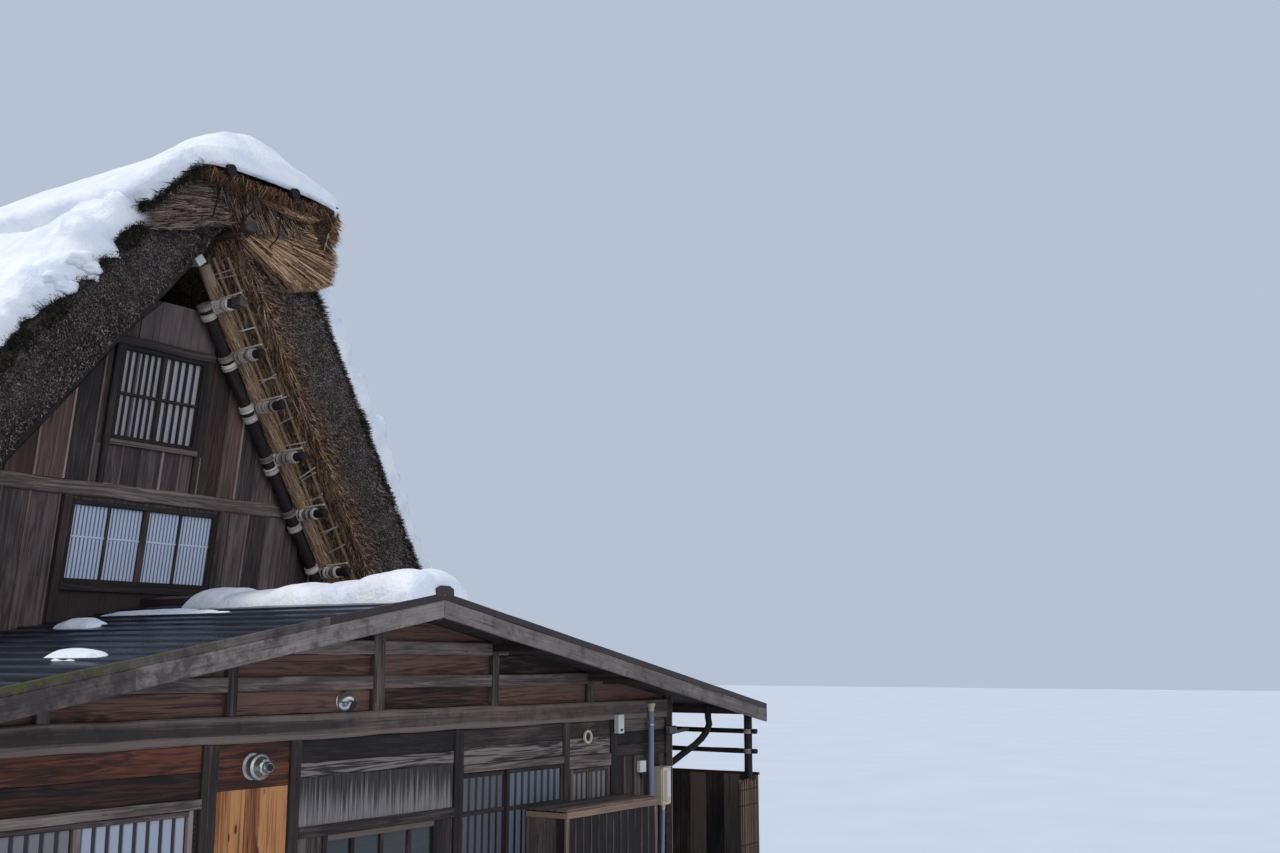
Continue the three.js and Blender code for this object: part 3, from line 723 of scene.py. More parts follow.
def annex_posts():
    post = Build()
    for x in ((-2.106, -1.935), (-1.112, -0.984), (1.172, 1.31), (3.1025, 3.213)):
        tone = rng.uniform(-0.35, 0.1)
        board(post, annex, x, POST, (0.0155, 0.062), "z", tone, 0, 0.005, 0.008, step=0.2, fine=3)
    board(post, annex, (4.08, 4.2), POST, (0.0155, 0.055), "z", -0.3, 0, 0.004, step=0.2)
    piece("annex_posts", post, [DARK], "dark_wood", "annex_post_left", "annex_post_narrow_bay",
          "annex_post_door_left", "annex_post_door_right")


def annex_boards():
    b = Build()
    # left bay: two red-brown boards over the window, boards under and beside it
    plank(b, annex, (-5.33, -2.108), (2.27, 2.492), SKIN, 5, 0.0)
    plank(b, annex, (-5.33, -2.108), (2.05, 2.266), SKIN, 5, -0.42)
    uprights(b, annex, (-5.33, -4.37), (0.081, 1.965), SKIN, 0.16)
    rows(b, annex, (-4.368, -2.108), (0.081, 0.3, 0.52, 0.74, 0.945), SKIN, (0, 0, 1, 0))
    # narrow bay
    plank(b, annex, (-1.934, -1.113), (2.092, 2.49), SKIN, 5, -0.12)
    for k in range(5):
        x0 = -1.934 + 0.1642 * k
        board(b, annex, (x0 + 0.001, x0 + 0.163), (0.081, 2.09), SKIN, "z", rng.uniform(-0.2, 0.4), 2)
    # middle bay
    plank(b, annex, (-0.983, 1.171), (2.142, 2.273), SKIN, 3, -0.15)
    plank(b, annex, (-0.983, 1.171), (2.277, 2.49), SKIN, 0, -0.45)
    uprights(b, annex, (-0.983, 1.171), (1.7, 2.14), THIN_SKIN, 0.11, (4,))
    uprights(b, annex, (-0.983, -0.665), (0.081, 1.68), SKIN, 0.16)
    uprights(b, annex, (0.945, 1.171), (0.081, 1.68), SKIN, 0.12)
    rows(b, annex, (-0.664, 0.944), (0.081, 0.3, 0.52, 0.745), SKIN, (0, 0, 0))
    # over the door, then the right bay
    for x, low in (((1.311, 3.102), 2.117), ((3.214, 4.079), 2.102)):
        plank(b, annex, x, (low, 2.3), THIN_SKIN, 3, 0.0)
        plank(b, annex, x, (2.304, 2.49), THIN_SKIN, 0, -0.12)
    rows(b, annex, (4.201, 5.33), (2.04, 2.19, 2.34, 2.492), SKIN, (0, 0, 0))
    uprights(b, annex, (4.201, 5.33), (0.081, 2.04), SKIN, 0.2, strip=0)
    rows(b, annex, (3.214, 4.079), (0.081, 0.38, 0.69, 0.995), SKIN, (0, 0, 0))
    piece("annex_front_boards", b, [DARK, RED, BURNT, GRAIN, STREAKED, ROSE], "dark_wood")


def annex_rails():
    """The window lintels, the door's head and the main beam over them all."""
    rails = Build()
    for x, z, out, tone, rough, fine in (
        ((-5.33, -2.107), (1.962, 2.048), (0.0155, 0.068), 0.05, 0.006, 2),
        ((-0.983, 1.171), (1.602, 1.7), (0.0155, 0.06), -0.35, 0.004, 2),
        ((3.214, 4.079), (1.955, 2.098), (0.0155, 0.05), 0.0, 0.004, 1),
        ((1.312, 3.1), (2.036, 2.112), (0.0, 0.06), 0.05, 0.003, 1),
    ):
        board(rails, annex, x, z, out, "x", tone, 0, rough, step=0.15, fine=fine)
    piece("annex_rails", rails, [GREY], "grey_wood")
    beam = Build()
    board(beam, annex, (-5.338, 5.338), (BEAM_FOOT, BEAM_TOP), (-0.04, 0.077), "x", 0.0, 0, 0.014, 0.014,
          step=0.12, fine=6)
    piece("annex_main_beam", beam, [BEAM], "grey_wood", "annex_beam")


def annex_windows():
    w = Build()
    frame_bars(w, annex, (-4.3597, -2.1603), (0.9503, 1.9597), (-0.04, 0.04), 0.05, (-3.26,), 0.07)
    for look, x in ((1, (-4.311, -3.296)), (2, (-3.224, -2.209))):
        ribbed(w, annex, x, (1.0, 1.91), 0.0, 0.128, 0.012, look, 0.6)
    piece("annex_left_window", w, [GREY, CLOUDED, CORRUGATED], "window_frame", "annex_window_left")
    w = Build()
    bars = (-0.26, 0.14, 0.54)
    frame_bars(w, annex, (-0.6597, 0.9397), (0.7503, 1.5997), (-0.04, 0.04), 0.06, bars, 0.05)
    board(w, annex, (-0.6, 0.88), (0.8, 1.545), (-0.006, 0.006), "x", -0.1, 1)
    piece("annex_middle_window", w, [DARK, GLASS], "window_frame", "annex_window_middle")
    w = Build()
    frame_bars(w, annex, (3.2703, 4.0797), (1.0003, 1.9497), (-0.04, 0.036), 0.05, (3.675,), 0.05)
    ribbed(w, annex, (3.319, 4.031), (1.05, 1.9), 0.0, 0.1, 0.012, 1, 0.45)
    piece("annex_right_window", w, [DARK, CLOUDED], "window_frame", "annex_window_right")


def door_leaf(name, node, x, z, out, pane, body="house"):
    """A leaf of dark bars with a ribbed pane; the one that slides has shoes and a steel pull."""
    b = Build()
    stile = 0.045
    for side in ((x[0], x[0] + stile), (x[1] - stile, x[1])):
        board(b, annex, side, z, out, "z", -0.2)
    for rail in ((z[0], z[0] + 0.09), (1.58, 1.632), (z[1] - 0.05, z[1]), (0.82, 0.86)):
        board(b, annex, (x[0] + stile, x[1] - stile), rail, out, "x", -0.2)
    pane_x, pane_z = (x[0] + 0.04, x[1] - 0.04), (z[0] + 0.08, z[1] - 0.045)
    ribbed(b, annex, pane_x, pane_z, sum(out) / 2, 0.118, 0.009, 1, 0.5)
    if body == "door":
        for shoe in (x[0] + 0.052, x[1] - 0.09):
            board(b, annex, (shoe, shoe + 0.05), (0.0805, 0.092), (-0.018, -0.002))
        pull = (x[0] + 0.012, x[0] + 0.03)
        board(b, annex, pull, (0.92, 1.08), (out[1] - 0.001, out[1] + 0.003), "z", look=2)
    piece(name, b, [DARK, pane, STEEL], "grey_wood", node, body=body)


def annex_gable():
    b = Build()
    bay = 1.82
    edges = (-5.33, -3.7, -1.88, -0.06, 0.06, 1.88, 3.7, 5.33)
    cap = lambda x: roof_top(x) - 0.1
    for low, high in ((2.728, 2.94), (3.071, 3.277), (3.414, 3.58), (3.582, 3.74)):
        for x0, x1 in zip(edges, edges[1:]):
            if x1 - x0 > 0.2 and cap(min(abs(x0), abs(x1))) > low + 0.03:
                x, tone = (x0 + 0.002, x1 - 0.002), rng.uniform(-0.45, 0.35)
                board(b, annex, x, (low, high), (-0.0145, -0.001), "x", tone, cap=cap, step=0.2)
    piece("annex_gable_cladding", b, [RED], "red_wood")
    f = Build()
    for n in (-2, -1, 0, 1, 2):
        # the middle strut is wider, deeper and ends under the ridge beam
        wide, out, lower = (0.055, 0.054, 0) if n else (0.075, 0.062, 0.055)
        x = n * bay
        z = (2.728, roof_top(abs(x) + 0.06) - 0.2 - lower)
        board(f, annex, (x - wide, x + wide), z, (-0.015, out), "z", -0.2, 0, 0.005, step=0.1, fine=2)
    under = lambda x: roof_top(x) - 0.092
    for z, half in (((2.94, 3.071), 3.9), ((3.277, 3.414), 2.05)):
        board(f, annex, (-half, half), z, (-0.01, 0.049), "x", 0.0, 0, 0.009, 0.01, under, 0.12, 4)
    piece("annex_gable_timbers", f, [GREY], "grey_wood", "annex_gable_frame")


def annex_roof():
    g = Build()
    far = ROOF_EAVE
    parts = ((-far, -3.45), -0.1), ((-3.449, -0.002), 0.25), ((0.002, 3.3), 0.12), ((3.301, far), 0.0)
    for x, tone in parts:
        board(g, on_roof, x, (-0.225, -0.052), (0.861, 0.893), "x", tone, 0, 0.006, 0.006, step=0.14, fine=3)
    for x, look in (((-far, -1.5), 0), ((-1.499, -0.002), 1), ((0.002, far), 1)):
        board(g, on_roof, x, (-0.052, 0.018), (0.8605, 0.896), "x", -0.15, look, 0.003, 0.005, step=0.2)
    piece("annex_bargeboard_pair", g, [BARGE, FLASHING], "grey_wood", "annex_bargeboards")
    # sheets with a raised rib at each seam, from the bargeboards to the roof's back edge
    first, pitch, front = 0.13, 0.303, -0.858
    profile = []
    for k in range(21):
        start, seam = first + pitch * k, first + pitch * (k + 1)
        profile += [(start, 0.003), (seam - 0.034, 0.008), (seam - 0.026, 0.021), (seam - 0.004, 0.021)]
    profile += [(profile[-1][0] + 0.002, 0.001), (first, 0.001)]
    for side, word in ((-1, "left"), (1, "right")):
        s = Build()
        rings = []
        for k in range(15):
            y = front + (ROOF_BACK - 0.02 - front) * k / 14
            ring = []
            for d, h in profile:
                dent = 0.0025 * ripple((d * 3, y * 1.3, 4.2 * side)) if h > 0.002 else 0
                ring.append(Vector((side * d, y, roof_top(d) + h + dent)))
            rings.append(ring)
        # the ribs' tops get a lighter tone and the flat parts a darker one: a painted highlight along each
        # rib
        s.skin(rings, tones=[0.6 if h > 0.015 else -0.3 for _, h in profile])
        piece("annex_sheets_" + word, s, [SHEET], "roof_metal")


annex_posts()
annex_boards()
annex_rails()
annex_windows()
door_leaf("entrance_leaf_sliding", "door_leaf_sliding", (1.318, 2.1), (0.086, 2.024), (-0.025, 0.005),
          DOOR_PANE, "door")
door_leaf("entrance_leaf_fixed", "door_leaf_fixed", (2.0605, 3.102), (0.081, 2.034), (0.0155, 0.045),
          BLUE_PANE)
annex_gable()
annex_roof()


# The leaning gables: the back one is the front one turned round
def gable_cladding(word, turn):
    """Upright boards with strips over their joints; those beside the windows are smooth."""
    b = Build()
    cap = lambda x: 7.9 - RAKE * abs(x)
    low = lambda x: 2.96 if turn else roof_top(x) - 0.03
    half_width, under_low, top = 3.1, 3.985, 7.3
    beam_foot, beam_top = GABLE_BEAM
    at = -half_width
    while at < half_width:
        end = at + (rng.uniform(0.3, 0.38) if at < -0.9 else rng.uniform(0.25, 0.32))
        middle = (at + end) / 2
        spans = [(low, beam_foot), (beam_top, top)]
        if -1.24 < middle < 0.84:
            spans = [(low, under_low), spans[1]]
        if -0.9 < middle < 0.36:
            spans = [spans[0], (beam_top, 5.6), (6.82, top)]
        for z0, z1 in spans:
            if cap(max(abs(at), abs(end)) - 0.1) < value(middle, z0) + 0.1:
                continue
            smooth = z1 == under_low or (z1 == top and abs(middle) < 1.3 and z0 != beam_top)
            if z1 == under_low:
                tone = -0.55
            else:
                tone = rng.uniform(-0.1, 0.1) if smooth else rng.uniform(-0.4, 0.25)
            look = 3
            if not smooth:
                share = 0.7 if -2.1 < middle < -0.9 and z1 == top else 0.15
                look = 2 if rng.random() < share else 0
            board(b, gable, (at + 0.001, end - 0.001), (z0, z1), (0.001, 0.017), "z", tone, look, cap=cap)
            if not smooth:
                half = rng.uniform(0.01, 0.016)
                strip, tone = (end - half, end + half), rng.uniform(-0.5, 0.4)
                board(b, gable, strip, (z0, z1), (0.016, 0.034), "z", tone, 1, cap=cap)
        at = end
    piece("gable_cladding_" + word, b, [GABLE, STRIP, GABLE_RED, PANEL], "dark_wood", turn=turn)
    t = Build()
    board(t, gable, (-2.06, 2.06), GABLE_BEAM, (0.0005, 0.052), "x", 0.02, 0, 0.016, 0.012, cap, 0.1, 5)
    piece("gable_rough_beam_" + word, t, [GREY], "grey_wood", "gable_beam_" + word, turn=turn)


def gable_windows(word, turn):
    """The low window with its four leaves and the high lattice window, each in its casing."""
    w = Build()
    depth = (-0.07, 0.05)
    frame_bars(w, gable, (-1.1997, 0.7797), (4.0505, 4.9595), depth, 0.055, (-0.21,), 0.075, tone=-0.4)
    for bar in (-0.69, 0.27):
        board(w, gable, (bar - 0.014, bar + 0.014), (4.1, 4.905), (0.006, 0.03), "z", -0.1)
    for x in ((-1.146, -0.702), (-0.678, -0.246), (-0.174, 0.258), (0.282, 0.726)):
        ribbed(w, gable, x, (4.104, 4.905), 0.0, 0.048, 0.005, 1, 0.5)
        board(w, gable, x, (4.55, 4.572), (0.004, 0.009), "x", 0.5, 2)
    for x in ((-1.29, -1.201), (0.781, 0.87)):
        board(w, gable, x, (3.6, 5.0), (0.001, 0.06), "z", -0.1, 0, 0.004)
    board(w, gable, (-1.2, 0.78), (3.975, 4.05), (0.001, 0.07), "x", -0.3, 0, 0.003)
    piece("gable_low_window_" + word, w, [DARK, PAPER, PAPER], "window_frame",
          "gable_window_low_" + word, turn=turn)
    h = Build()
    pane = (5.71, 6.67)
    frame_bars(h, gable, (-0.8497, 0.3097), (5.6605, 6.7195), depth, 0.05, (-0.27,), 0.05, (6.17,), -0.5)
    ribbed(h, gable, (-0.8, 0.26), pane, -0.01, 0.2, 0.001, 1, 0.9)
    for x0, x1, count in ((-0.8, -0.295, 6), (-0.245, 0.26, 5)):
        for k in range(count + 1):
            x = x0 + (x1 - x0) / count * k
            board(h, gable, (x - 0.015, x + 0.015), pane, (0.004, 0.02), "z", -0.4, step=1.2)
    board(h, gable, (-0.96, 0.4), (6.72, 6.82), (0.001, 0.07), "x", -0.2, 0, 0.01, step=0.1, fine=3)
    for x in ((-0.93, -0.851), (0.311, 0.385)):
        board(h, gable, x, (5.164, 6.72), (0.001, 0.056), "z", -0.3, 0, 0.004)
    board(h, gable, (-0.86, 0.32), (5.6, 5.659), (0.001, 0.075), "x", 0.3, 0, 0.003)
    piece("gable_high_window_" + word, h, [DARK, LATTICE, STRIP], "lattice_wood",
          "gable_window_high_" + word, turn=turn)


# The poles, rolls and lashings that carry a verge
FORWARD = Vector((0, -1, 0))
POLE_OUT = 0.1286
# The straw roll's height over the ridge line and its distance out
ROLL, ROLL_OUT = 7.76, 0.137
STUB_HEIGHTS = (4.35, 5.05, 5.7, 6.27, 6.82, 7.35)
# How far from each stub its two bands lie on the pole
PAIR_GAPS = (0.14, 0.11, 0.085, 0.068, 0.055, 0.062)
# Where rope is wound round each stub, as a share of its length, and how wide
SLEEVES = (
    ((0.3, 0.036), (0.41, 0.036), (0.52, 0.036), (0.64, 0.04)),
    ((0.3, 0.036), (0.41, 0.036), (0.52, 0.036), (0.66, 0.055)),
    ((0.28, 0.036), (0.39, 0.036), (0.5, 0.036), (0.68, 0.11)),
    ((0.27, 0.036), (0.38, 0.036), (0.49, 0.036), (0.6, 0.036), (0.73, 0.045)),
    ((0.28, 0.036), (0.38, 0.03), (0.48, 0.036), (0.68, 0.12)),
    ((0.3, 0.11), (0.54, 0.11)),
)


class Verge:
    """A verge's poles under construction, on the side -1 or 1 of the ridge line."""
    def __init__(self, side):
        self.side, self.build = side, Build()
        self.down = (self.at(1, 6, 0.2) - self.at(0, 7.32, 0.2)).normalized()

    def at(self, x, z, out):
        return Vector((self.side * x, gable_y(z, out), z))

    def rake(self, apex, out, x0, x1, count, wave=0.012):
        """Points down the rake that would start at height apex on the ridge line."""
        spots = []
        for k in range(count):
            x = x0 + (x1 - x0) * k / (count - 1)
            rise = wave * ripple((x * 1.7, apex, out))
            spots.append(self.at(x, apex - RAKE * x + rise, out))
        return spots

    def rod(self, *settings):
        rod(self.build, *settings)

    def band(self, spot, way, radius, width, tone=None):
        tone = rng.uniform(-0.35, 0.3) if tone is None else tone
        lashing(self.build, spot, way, radius, width, max(2, round(width / 0.021)), 3, tone)


def left_verge(v):
    """The poles that lie behind the left-hand verge's high edge."""
    pole = 8.205
    v.rod(v.rake(pole, POLE_OUT, 0.09, 3.5, 16), 0.072, 12, -0.2, 0, 0.005)
    v.rod(v.rake(8.214, 0.29, 0.09, 3.48, 60, 0.02), 0.064, 12, -0.6, 2, 0.016)
    for z in STUB_HEIGHTS:
        start = v.at(rake_in(z, pole), z, 0.01)
        v.rod(line(start, start + FORWARD * 0.3, 4), 0.056, 10, -0.3, 0, 0.004)
        for shift in (-0.1, 0.1):
            v.band(start + FORWARD * 0.12 + v.down * shift, v.down, 0.078, 0.07)
        v.band(start + FORWARD * 0.2, FORWARD, 0.064, 0.08)
    for x in (0.49, 0.67, 1.28, 1.51):
        v.band(v.at(x, pole - RAKE * x, POLE_OUT), v.down, 0.094, 0.07, 0.3)


def stub(v, n, z):
    """A stub log with its ropes and the two bands that tie it to the pole; the top one is square."""
    x = rake_in(z, 7.626)
    start = v.at(x, z, 0.07)
    end = start + FORWARD * 0.55
    if n == len(STUB_HEIGHTS) - 1:
        v.rod(line(start, end, 6), 0.07, 4, -0.1, 6, 0.003, 0.5)
        tip = line(start.lerp(end, 0.8), end + FORWARD * 0.03, 3)
        v.rod(tip, [0.078, 0.08, 0.078], 4, -0.1, 2, 0.003, 0.5)
    else:
        v.rod(line(start, end, 6), 0.056, 12, -0.35, 0, 0.004)
        v.rod([end, end + FORWARD * 0.014], [0.052, 0.04], 12, -0.5, 0)
    for share, width in SLEEVES[n]:
        v.band(start.lerp(end, share), FORWARD, 0.068, width)
    v.band(start.lerp(end, 0.16), FORWARD, 0.074, 0.035)
    root = v.at(x - 0.094, z - 0.0715, POLE_OUT)
    for shift in (-PAIR_GAPS[n], PAIR_GAPS[n]):
        v.band(root + v.down * shift, v.down, 0.08, rng.uniform(0.075, 0.095))
    tie = [start.lerp(end, t) + Vector((0, 0, 0.082 + 0.03 * t)) for t in (0.1, 0.5, 0.95)]
    v.rod(tie, 0.011, 6, 0.3, 3)


def ladder(v):
    """Two thin rods tied over the straw, with twigs across them in loose groups."""
    low_rod, high_rod = 7.93, 8.02
    v.rod(v.rake(low_rod, 0.22, 0.03, 3.18, 40, 0.03), 0.021, 8, 0.0, 5, 0.004)
    v.rod(v.rake(high_rod, 0.38, 0.1, 3.2, 40, 0.03), 0.02, 8, 0.1, 5, 0.004)
    z = 7.72
    while z > 3.85:
        for _ in range(rng.choice((1, 1, 2))):
            low = rng.uniform(0.15, 0.22)
            high = low + rng.uniform(0.2, 0.3)
            top = z + rng.uniform(0.02, 0.12)
            ends = v.at(rake_in(z, low_rod - 0.045), z, low), v.at(rake_in(top, high_rod - 0.03), top, high)
            v.rod(line(*ends, 3), rng.uniform(0.007, 0.01), 6, rng.uniform(-0.1, 0.5), 3)
            z -= rng.uniform(0.03, 0.07)
        z -= rng.uniform(0.14, 0.32)


def right_verge(v):
    """A dark pole, the straw roll over it, the stubs that both are tied to, and the ladder."""
    v.rod(v.rake(7.43, POLE_OUT, 0.06, 3.04, 24), 0.071, 12, -0.3, 0, 0.006)
    v.rod(v.rake(ROLL, ROLL_OUT, -0.03, 3.25, 92, 0.02), 0.074, 14, 0.0, 1, 0.02)
    for n, z in enumerate(STUB_HEIGHTS):
        stub(v, n, z)
    ladder(v)


def verge(side, word, turn):
    v = Verge(side)
    if side < 0:
        left_verge(v)
    else:
        right_verge(v)
    end = "%s_%s" % (word, "back" if turn else "front")
    looks = [BLACK, ROLL_STRAW, GREY, ROPE, REED, STICK, RED_BEAM]
    piece("verge_lashed_poles_" + end, v.build, looks, "dark_wood", "verge_poles_" + end, turn=turn)


# The thatch: a closed skin whose rings lie flat, one for each height
def thatch_ring(z):
    """One ring as x, y and zone: the front end's face and rim, the eave side, then the back end."""
    outer = rake_out(z)

    def end(edge, back):
        inner, low = max(rake_in(z), 0.0004), max(rake_in(z, edge), 0.0004)
        spots = [(inner, 0.0, 0.5 if back else 0.0)]
        for k in range(5):
            t = k / 4.5
            reached = low if back else inner + (low - inner) * t
            spots.append((reached, 0.002 + VERGE * t, 0.5 if back else 0.2 * t))
        for k in range(15):
            t = k / 14
            bulge = VERGE - 0.02 * (1 - t) + 0.015 * sin(pi * t)
            spots.append((low + (outer - RIM - low) * t, bulge, 0.5 + 0.2 * t if back else 0.2 + 0.5 * t))
        for k in range(1, 7):
            a = pi / 2 * k / 6
            spots.append((outer - RIM + RIM * sin(a), VERGE - RIM + RIM * cos(a), 0.74 + 0.2 * k / 6))
        return spots

    near, far = end(LOW_EDGE, False), end(HIGH_EDGE, True)
    ring = [(x, gable_y(z, out), zone) for x, out, zone in near]
    first, last = ring[-1][1], HOUSE_SPAN - gable_y(z, far[-1][1])
    ring += [(outer, first + (last - first) * k / 40, 0.98) for k in range(1, 40)]
    return ring + [(x, HOUSE_SPAN - gable_y(z, out), zone) for x, out, zone in reversed(far)]


def shaggy(x, y, z, zone):
    """A point of the thatch with its lumps, which are strongest on the rim."""
    p = Vector((x, y, z))
    lump = ripple(p * 1.6) * 0.03 + ripple(p * 5.2) * 0.022 + ripple(p * 14) * 0.014
    rim = max(0.0, 1 - abs(zone - 0.86) / 0.12)
    lump += rim * (ripple(p * 3.1) * 0.05 + ripple(p * 9) * 0.03)
    face = zone > (0.31 if y > HOUSE_MID else 0.21)
    if zone > 0.8:
        x += lump
    elif x > 0.01:
        x += lump * 0.2
    y += (-1 if y < HOUSE_MID else 1) * lump * (1 if face and zone < 0.97 else 0.4)
    if z < EAVE + 0.01:
        z += max(0, lump)
    return Vector((max(x, 0.0003), y, z))


def clear_of_annex(points):
    """Lifts points near the front gable over the annex roof."""
    for p in points:
        if p.y < GABLE_Y + 0.05:
            p.z = max(p.z, roof_top(p.x) + 0.014)


def thatch_slope(word, turn):
    """The slope that ends in a right-hand verge; turned round it ends in the left-hand one."""
    b = Build()
    heights = [*np.linspace(EAVE, 8.1, 72), *np.linspace(LOW_EDGE, THATCH_TOP, 8)]
    rings = [thatch_ring(float(z)) for z in heights]
    skin = [[shaggy(x, y, float(z), zone) for x, y, zone in ring] for ring, z in zip(rings, heights)]
    b.skin([[turned(p) for p in row] for row in skin] if turn else skin)
    clear_of_annex(b.verts)
    zones = [zone for ring in rings for _, _, zone in ring]
    piece("thatch_mass_" + word, b, [THATCH], "thatch", "thatch_" + word, smooth=True, zone=zones)


draw, spread = many.random, many.uniform


def verge_field(kind, side, word, turn, base, way, radius, tone, zone, look=BRISTLE):
    """Straws on one verge, without those that would stand in the annex roof or under the eave."""
    tip = base + way
    for points in (base, tip):
        points[:, 0] = np.maximum(points[:, 0], 0.001) * side
    clear = (base[:, 2] > roof_top(base[:, 0]) + 0.03) | turn
    clear &= tip[:, 2] > 2.72
    if turn:
        base, tip = opposite(base), opposite(tip)
    kept = [values[clear] for values in (base, tip, radius, tone, zone)]
    straws("%s_%s_%s" % (kind, word, "back" if turn else "front"), *kept, look)


def face_straws(side, count):
    """Cut straw ends over a verge's face."""
    z = 2.95 + 5.6 * draw(count)
    share = draw(count) ** 0.95
    inner = np.maximum(rake_in(z, HIGH_EDGE if side < 0 else LOW_EDGE), 0.0)
    outer = rake_out(z)
    x = inner + (outer - inner) * share
    past = np.clip((x - (outer - RIM)) / RIM, 0, 1)
    out = VERGE - 0.014 - RIM * (1 - np.sqrt(np.clip(1 - past * past, 0, 1)))
    base = before_gable(np.stack([x, z], 1), out)
    # straws lie down the rake and outwards, and fan out near the inner edge
    fan = np.clip(1 - share / 0.3, 0, 1)[:, None] * (side > 0) * 0.7
    down, face = np.array([0.6, 0, -0.8]), np.array([0, -0.99, -0.1])
    lay = down * (0.4 + 0.5 * draw(count))[:, None] + face * (0.4 + 0.7 * draw(count))[:, None]
    lay = lay * (1 - fan) + np.array([0.85, -0.25, -0.5]) * fan
    lay += many.normal(0, 0.33, (count, 3)) * (1 - 0.5 * fan)
    lay[:, 0] += past * 0.8
    length = 0.035 + 0.05 * draw(count) ** 2 + 0.03 * past + 0.06 * fan[:, 0] * draw(count)
    radius = 0.0045 + 0.0045 * draw(count) - 0.0025 * fan[:, 0]
    zone = np.where(past > 0.2, 0.78 + 0.2 * past, 0.4 + 0.36 * share)
    if side > 0:
        warm = share < 0.05 + 0.75 * draw(count) ** 2
        zone = np.where(warm, 0.12 + 0.2 * draw(count), zone)
    tone = np.where(draw(count) < 0.16, spread(0.25, 0.6, count), spread(-0.6, 0.2, count))
    return base, unit(lay) * length[:, None], radius, tone, zone


def rim_tufts(side, turn, number):
    """Dark mossy tufts round a verge's rim."""
    z = 2.95 + 5.7 * draw(number)
    angle = spread(0.05, 1.3, number)
    x = rake_out(z) - RIM + RIM * np.sin(angle)
    clump = np.array([ripple((a * 2.3, b * 2.3, side + 3 * turn)) for a, b in zip(x, z)])
    base = before_gable(np.stack([x, z], 1), VERGE - RIM + 0.24 * np.cos(angle))
    lay = np.stack([0.3 + 0.8 * np.sin(angle), -0.2 - 0.8 * np.cos(angle), spread(-0.6, 0.5, number)], 1)
    lay += many.normal(0, 0.35, (number, 3))
    length = (0.03 + 0.06 * draw(number)) * (1 + 1.2 * np.clip(clump, 0, 1))
    tone = spread(-0.5, 0.75, number)
    return base, unit(lay) * length[:, None], np.full(number, 0.008), tone, np.full(number, 0.96)


def soffit_straws(number):
    """Straw laid along the rake under a verge, with loose ends."""
    z = 3.1 + 5.0 * draw(number)
    share = draw(number)
    x = rake_in(z) + (LOW_EDGE - INNER_APEX) / RAKE * share
    base = before_gable(np.stack([np.maximum(x - 0.004, 0), z], 1), VERGE * share)
    loose = (draw(number) < 0.6)[:, None]
    lay = np.where(loose, [0.2, -0.35, -0.6], [0.6, -0.02, -0.8])
    lay = lay + many.normal(0, 1, (number, 3)) * np.where(loose, 0.42, 0.14)
    lay[:, 0] -= 0.1
    length = np.where(loose[:, 0], 0.05 + 0.08 * draw(number), 0.1 + 0.25 * draw(number))
    base -= ACROSS_RAKE * (0.012 * draw(number))[:, None]
    radius = 0.004 + 0.003 * draw(number)
    return base, unit(lay) * length[:, None], radius, spread(-0.6, 0.4, number), spread(0.1, 0.9, number)


def roll_straws(number):
    """The fibres of the straw roll."""
    x = 0.1 + 3.0 * draw(number)
    angle = spread(0, 2 * pi, number)
    base = before_gable(np.stack([x, ROLL - RAKE * x], 1), np.full(number, ROLL_OUT))
    normal = np.array([0, -cos(LEAN), sin(LEAN)])
    aside = ACROSS_RAKE * np.cos(angle)[:, None] + normal * np.sin(angle)[:, None]
    base += aside * (0.068 + 0.014 * draw(number))[:, None]
    lay = np.array([0.604, 0.0, -0.797]) + many.normal(0, 0.07, (number, 3))
    length = 0.12 + 0.3 * draw(number)
    radius = 0.003 + 0.003 * draw(number)
    return base, lay * length[:, None], radius, spread(-0.3, 0.45, number), spread(0.5, 0.7, number)


def verge_straws(side, word, turn, count):
    place = side, word, turn
    verge_field("verge_straws", *place, *face_straws(side, count))
    verge_field("rim_tufts", *place, *rim_tufts(side, turn, count // 3))
    if side > 0:
        verge_field("soffit_straws", *place, *soffit_straws(count // 2), LOOSE)
        verge_field("roll_straws", *place, *roll_straws(count // 8), LOOSE)


def wrap(points, count):
    """Points at equal steps along a closed outline."""
    points = [Vector(p) for p in points]
    lengths = [(points[(i + 1) % len(points)] - p).length for i, p in enumerate(points)]
    total, made = sum(lengths), []
    for k in range(count):
        rest = total * k / count
        for i, length in enumerate(lengths):
            if rest <= length:
                made.append(points[i].lerp(points[(i + 1) % len(points)], rest / length))
                break
            rest -= length
    return made


# The saddle of straw on the ridge: its outline from the ridge line to its brim, at four places
CROWNS = (
    (1.845, ((0.0, 8.675), (0.3, 8.672), (0.5, 8.668), (0.64, 8.66), (0.86, 8.635), (1.0, 8.6))),
    (2.3, ((0.0, 9.11), (0.3, 9.06), (0.55, 8.93), (0.8, 8.75), (1.06, 8.52), (1.27, 8.28))),
    (2.65, ((0.0, 9.19), (0.3, 9.1), (0.55, 8.93), (0.8, 8.73), (1.06, 8.5), (1.27, 8.28))),
    (3.05, ((0.0, 9.18), (0.3, 8.99), (0.55, 8.82), (0.8, 8.65), (1.06, 8.46), (1.27, 8.28))),
)
CROWN_FRONT = CROWNS[0][0]
SNOW_FRONT = CROWN_FRONT - 0.004
# How far the brim is from the ridge line, along the saddle
BRIM = 1.7


def crown(share, y):
    """The saddle's surface at a share of the way from the ridge line to its brim."""
    y = min(max(min(y, HOUSE_SPAN - y), CROWN_FRONT), CROWNS[-1][0])
    k = max(n for n in range(3) if CROWNS[n][0] <= y)
    low, high = CROWNS[k], CROWNS[k + 1]
    t = (y - low[0]) / (high[0] - low[0])
    at = share * 5
    i = min(4, int(at))
    spots = [Vector(row[i]).lerp(Vector(row[i + 1]), at - i) for row in (low[1], high[1])]
    return spots[0].lerp(spots[1], t)


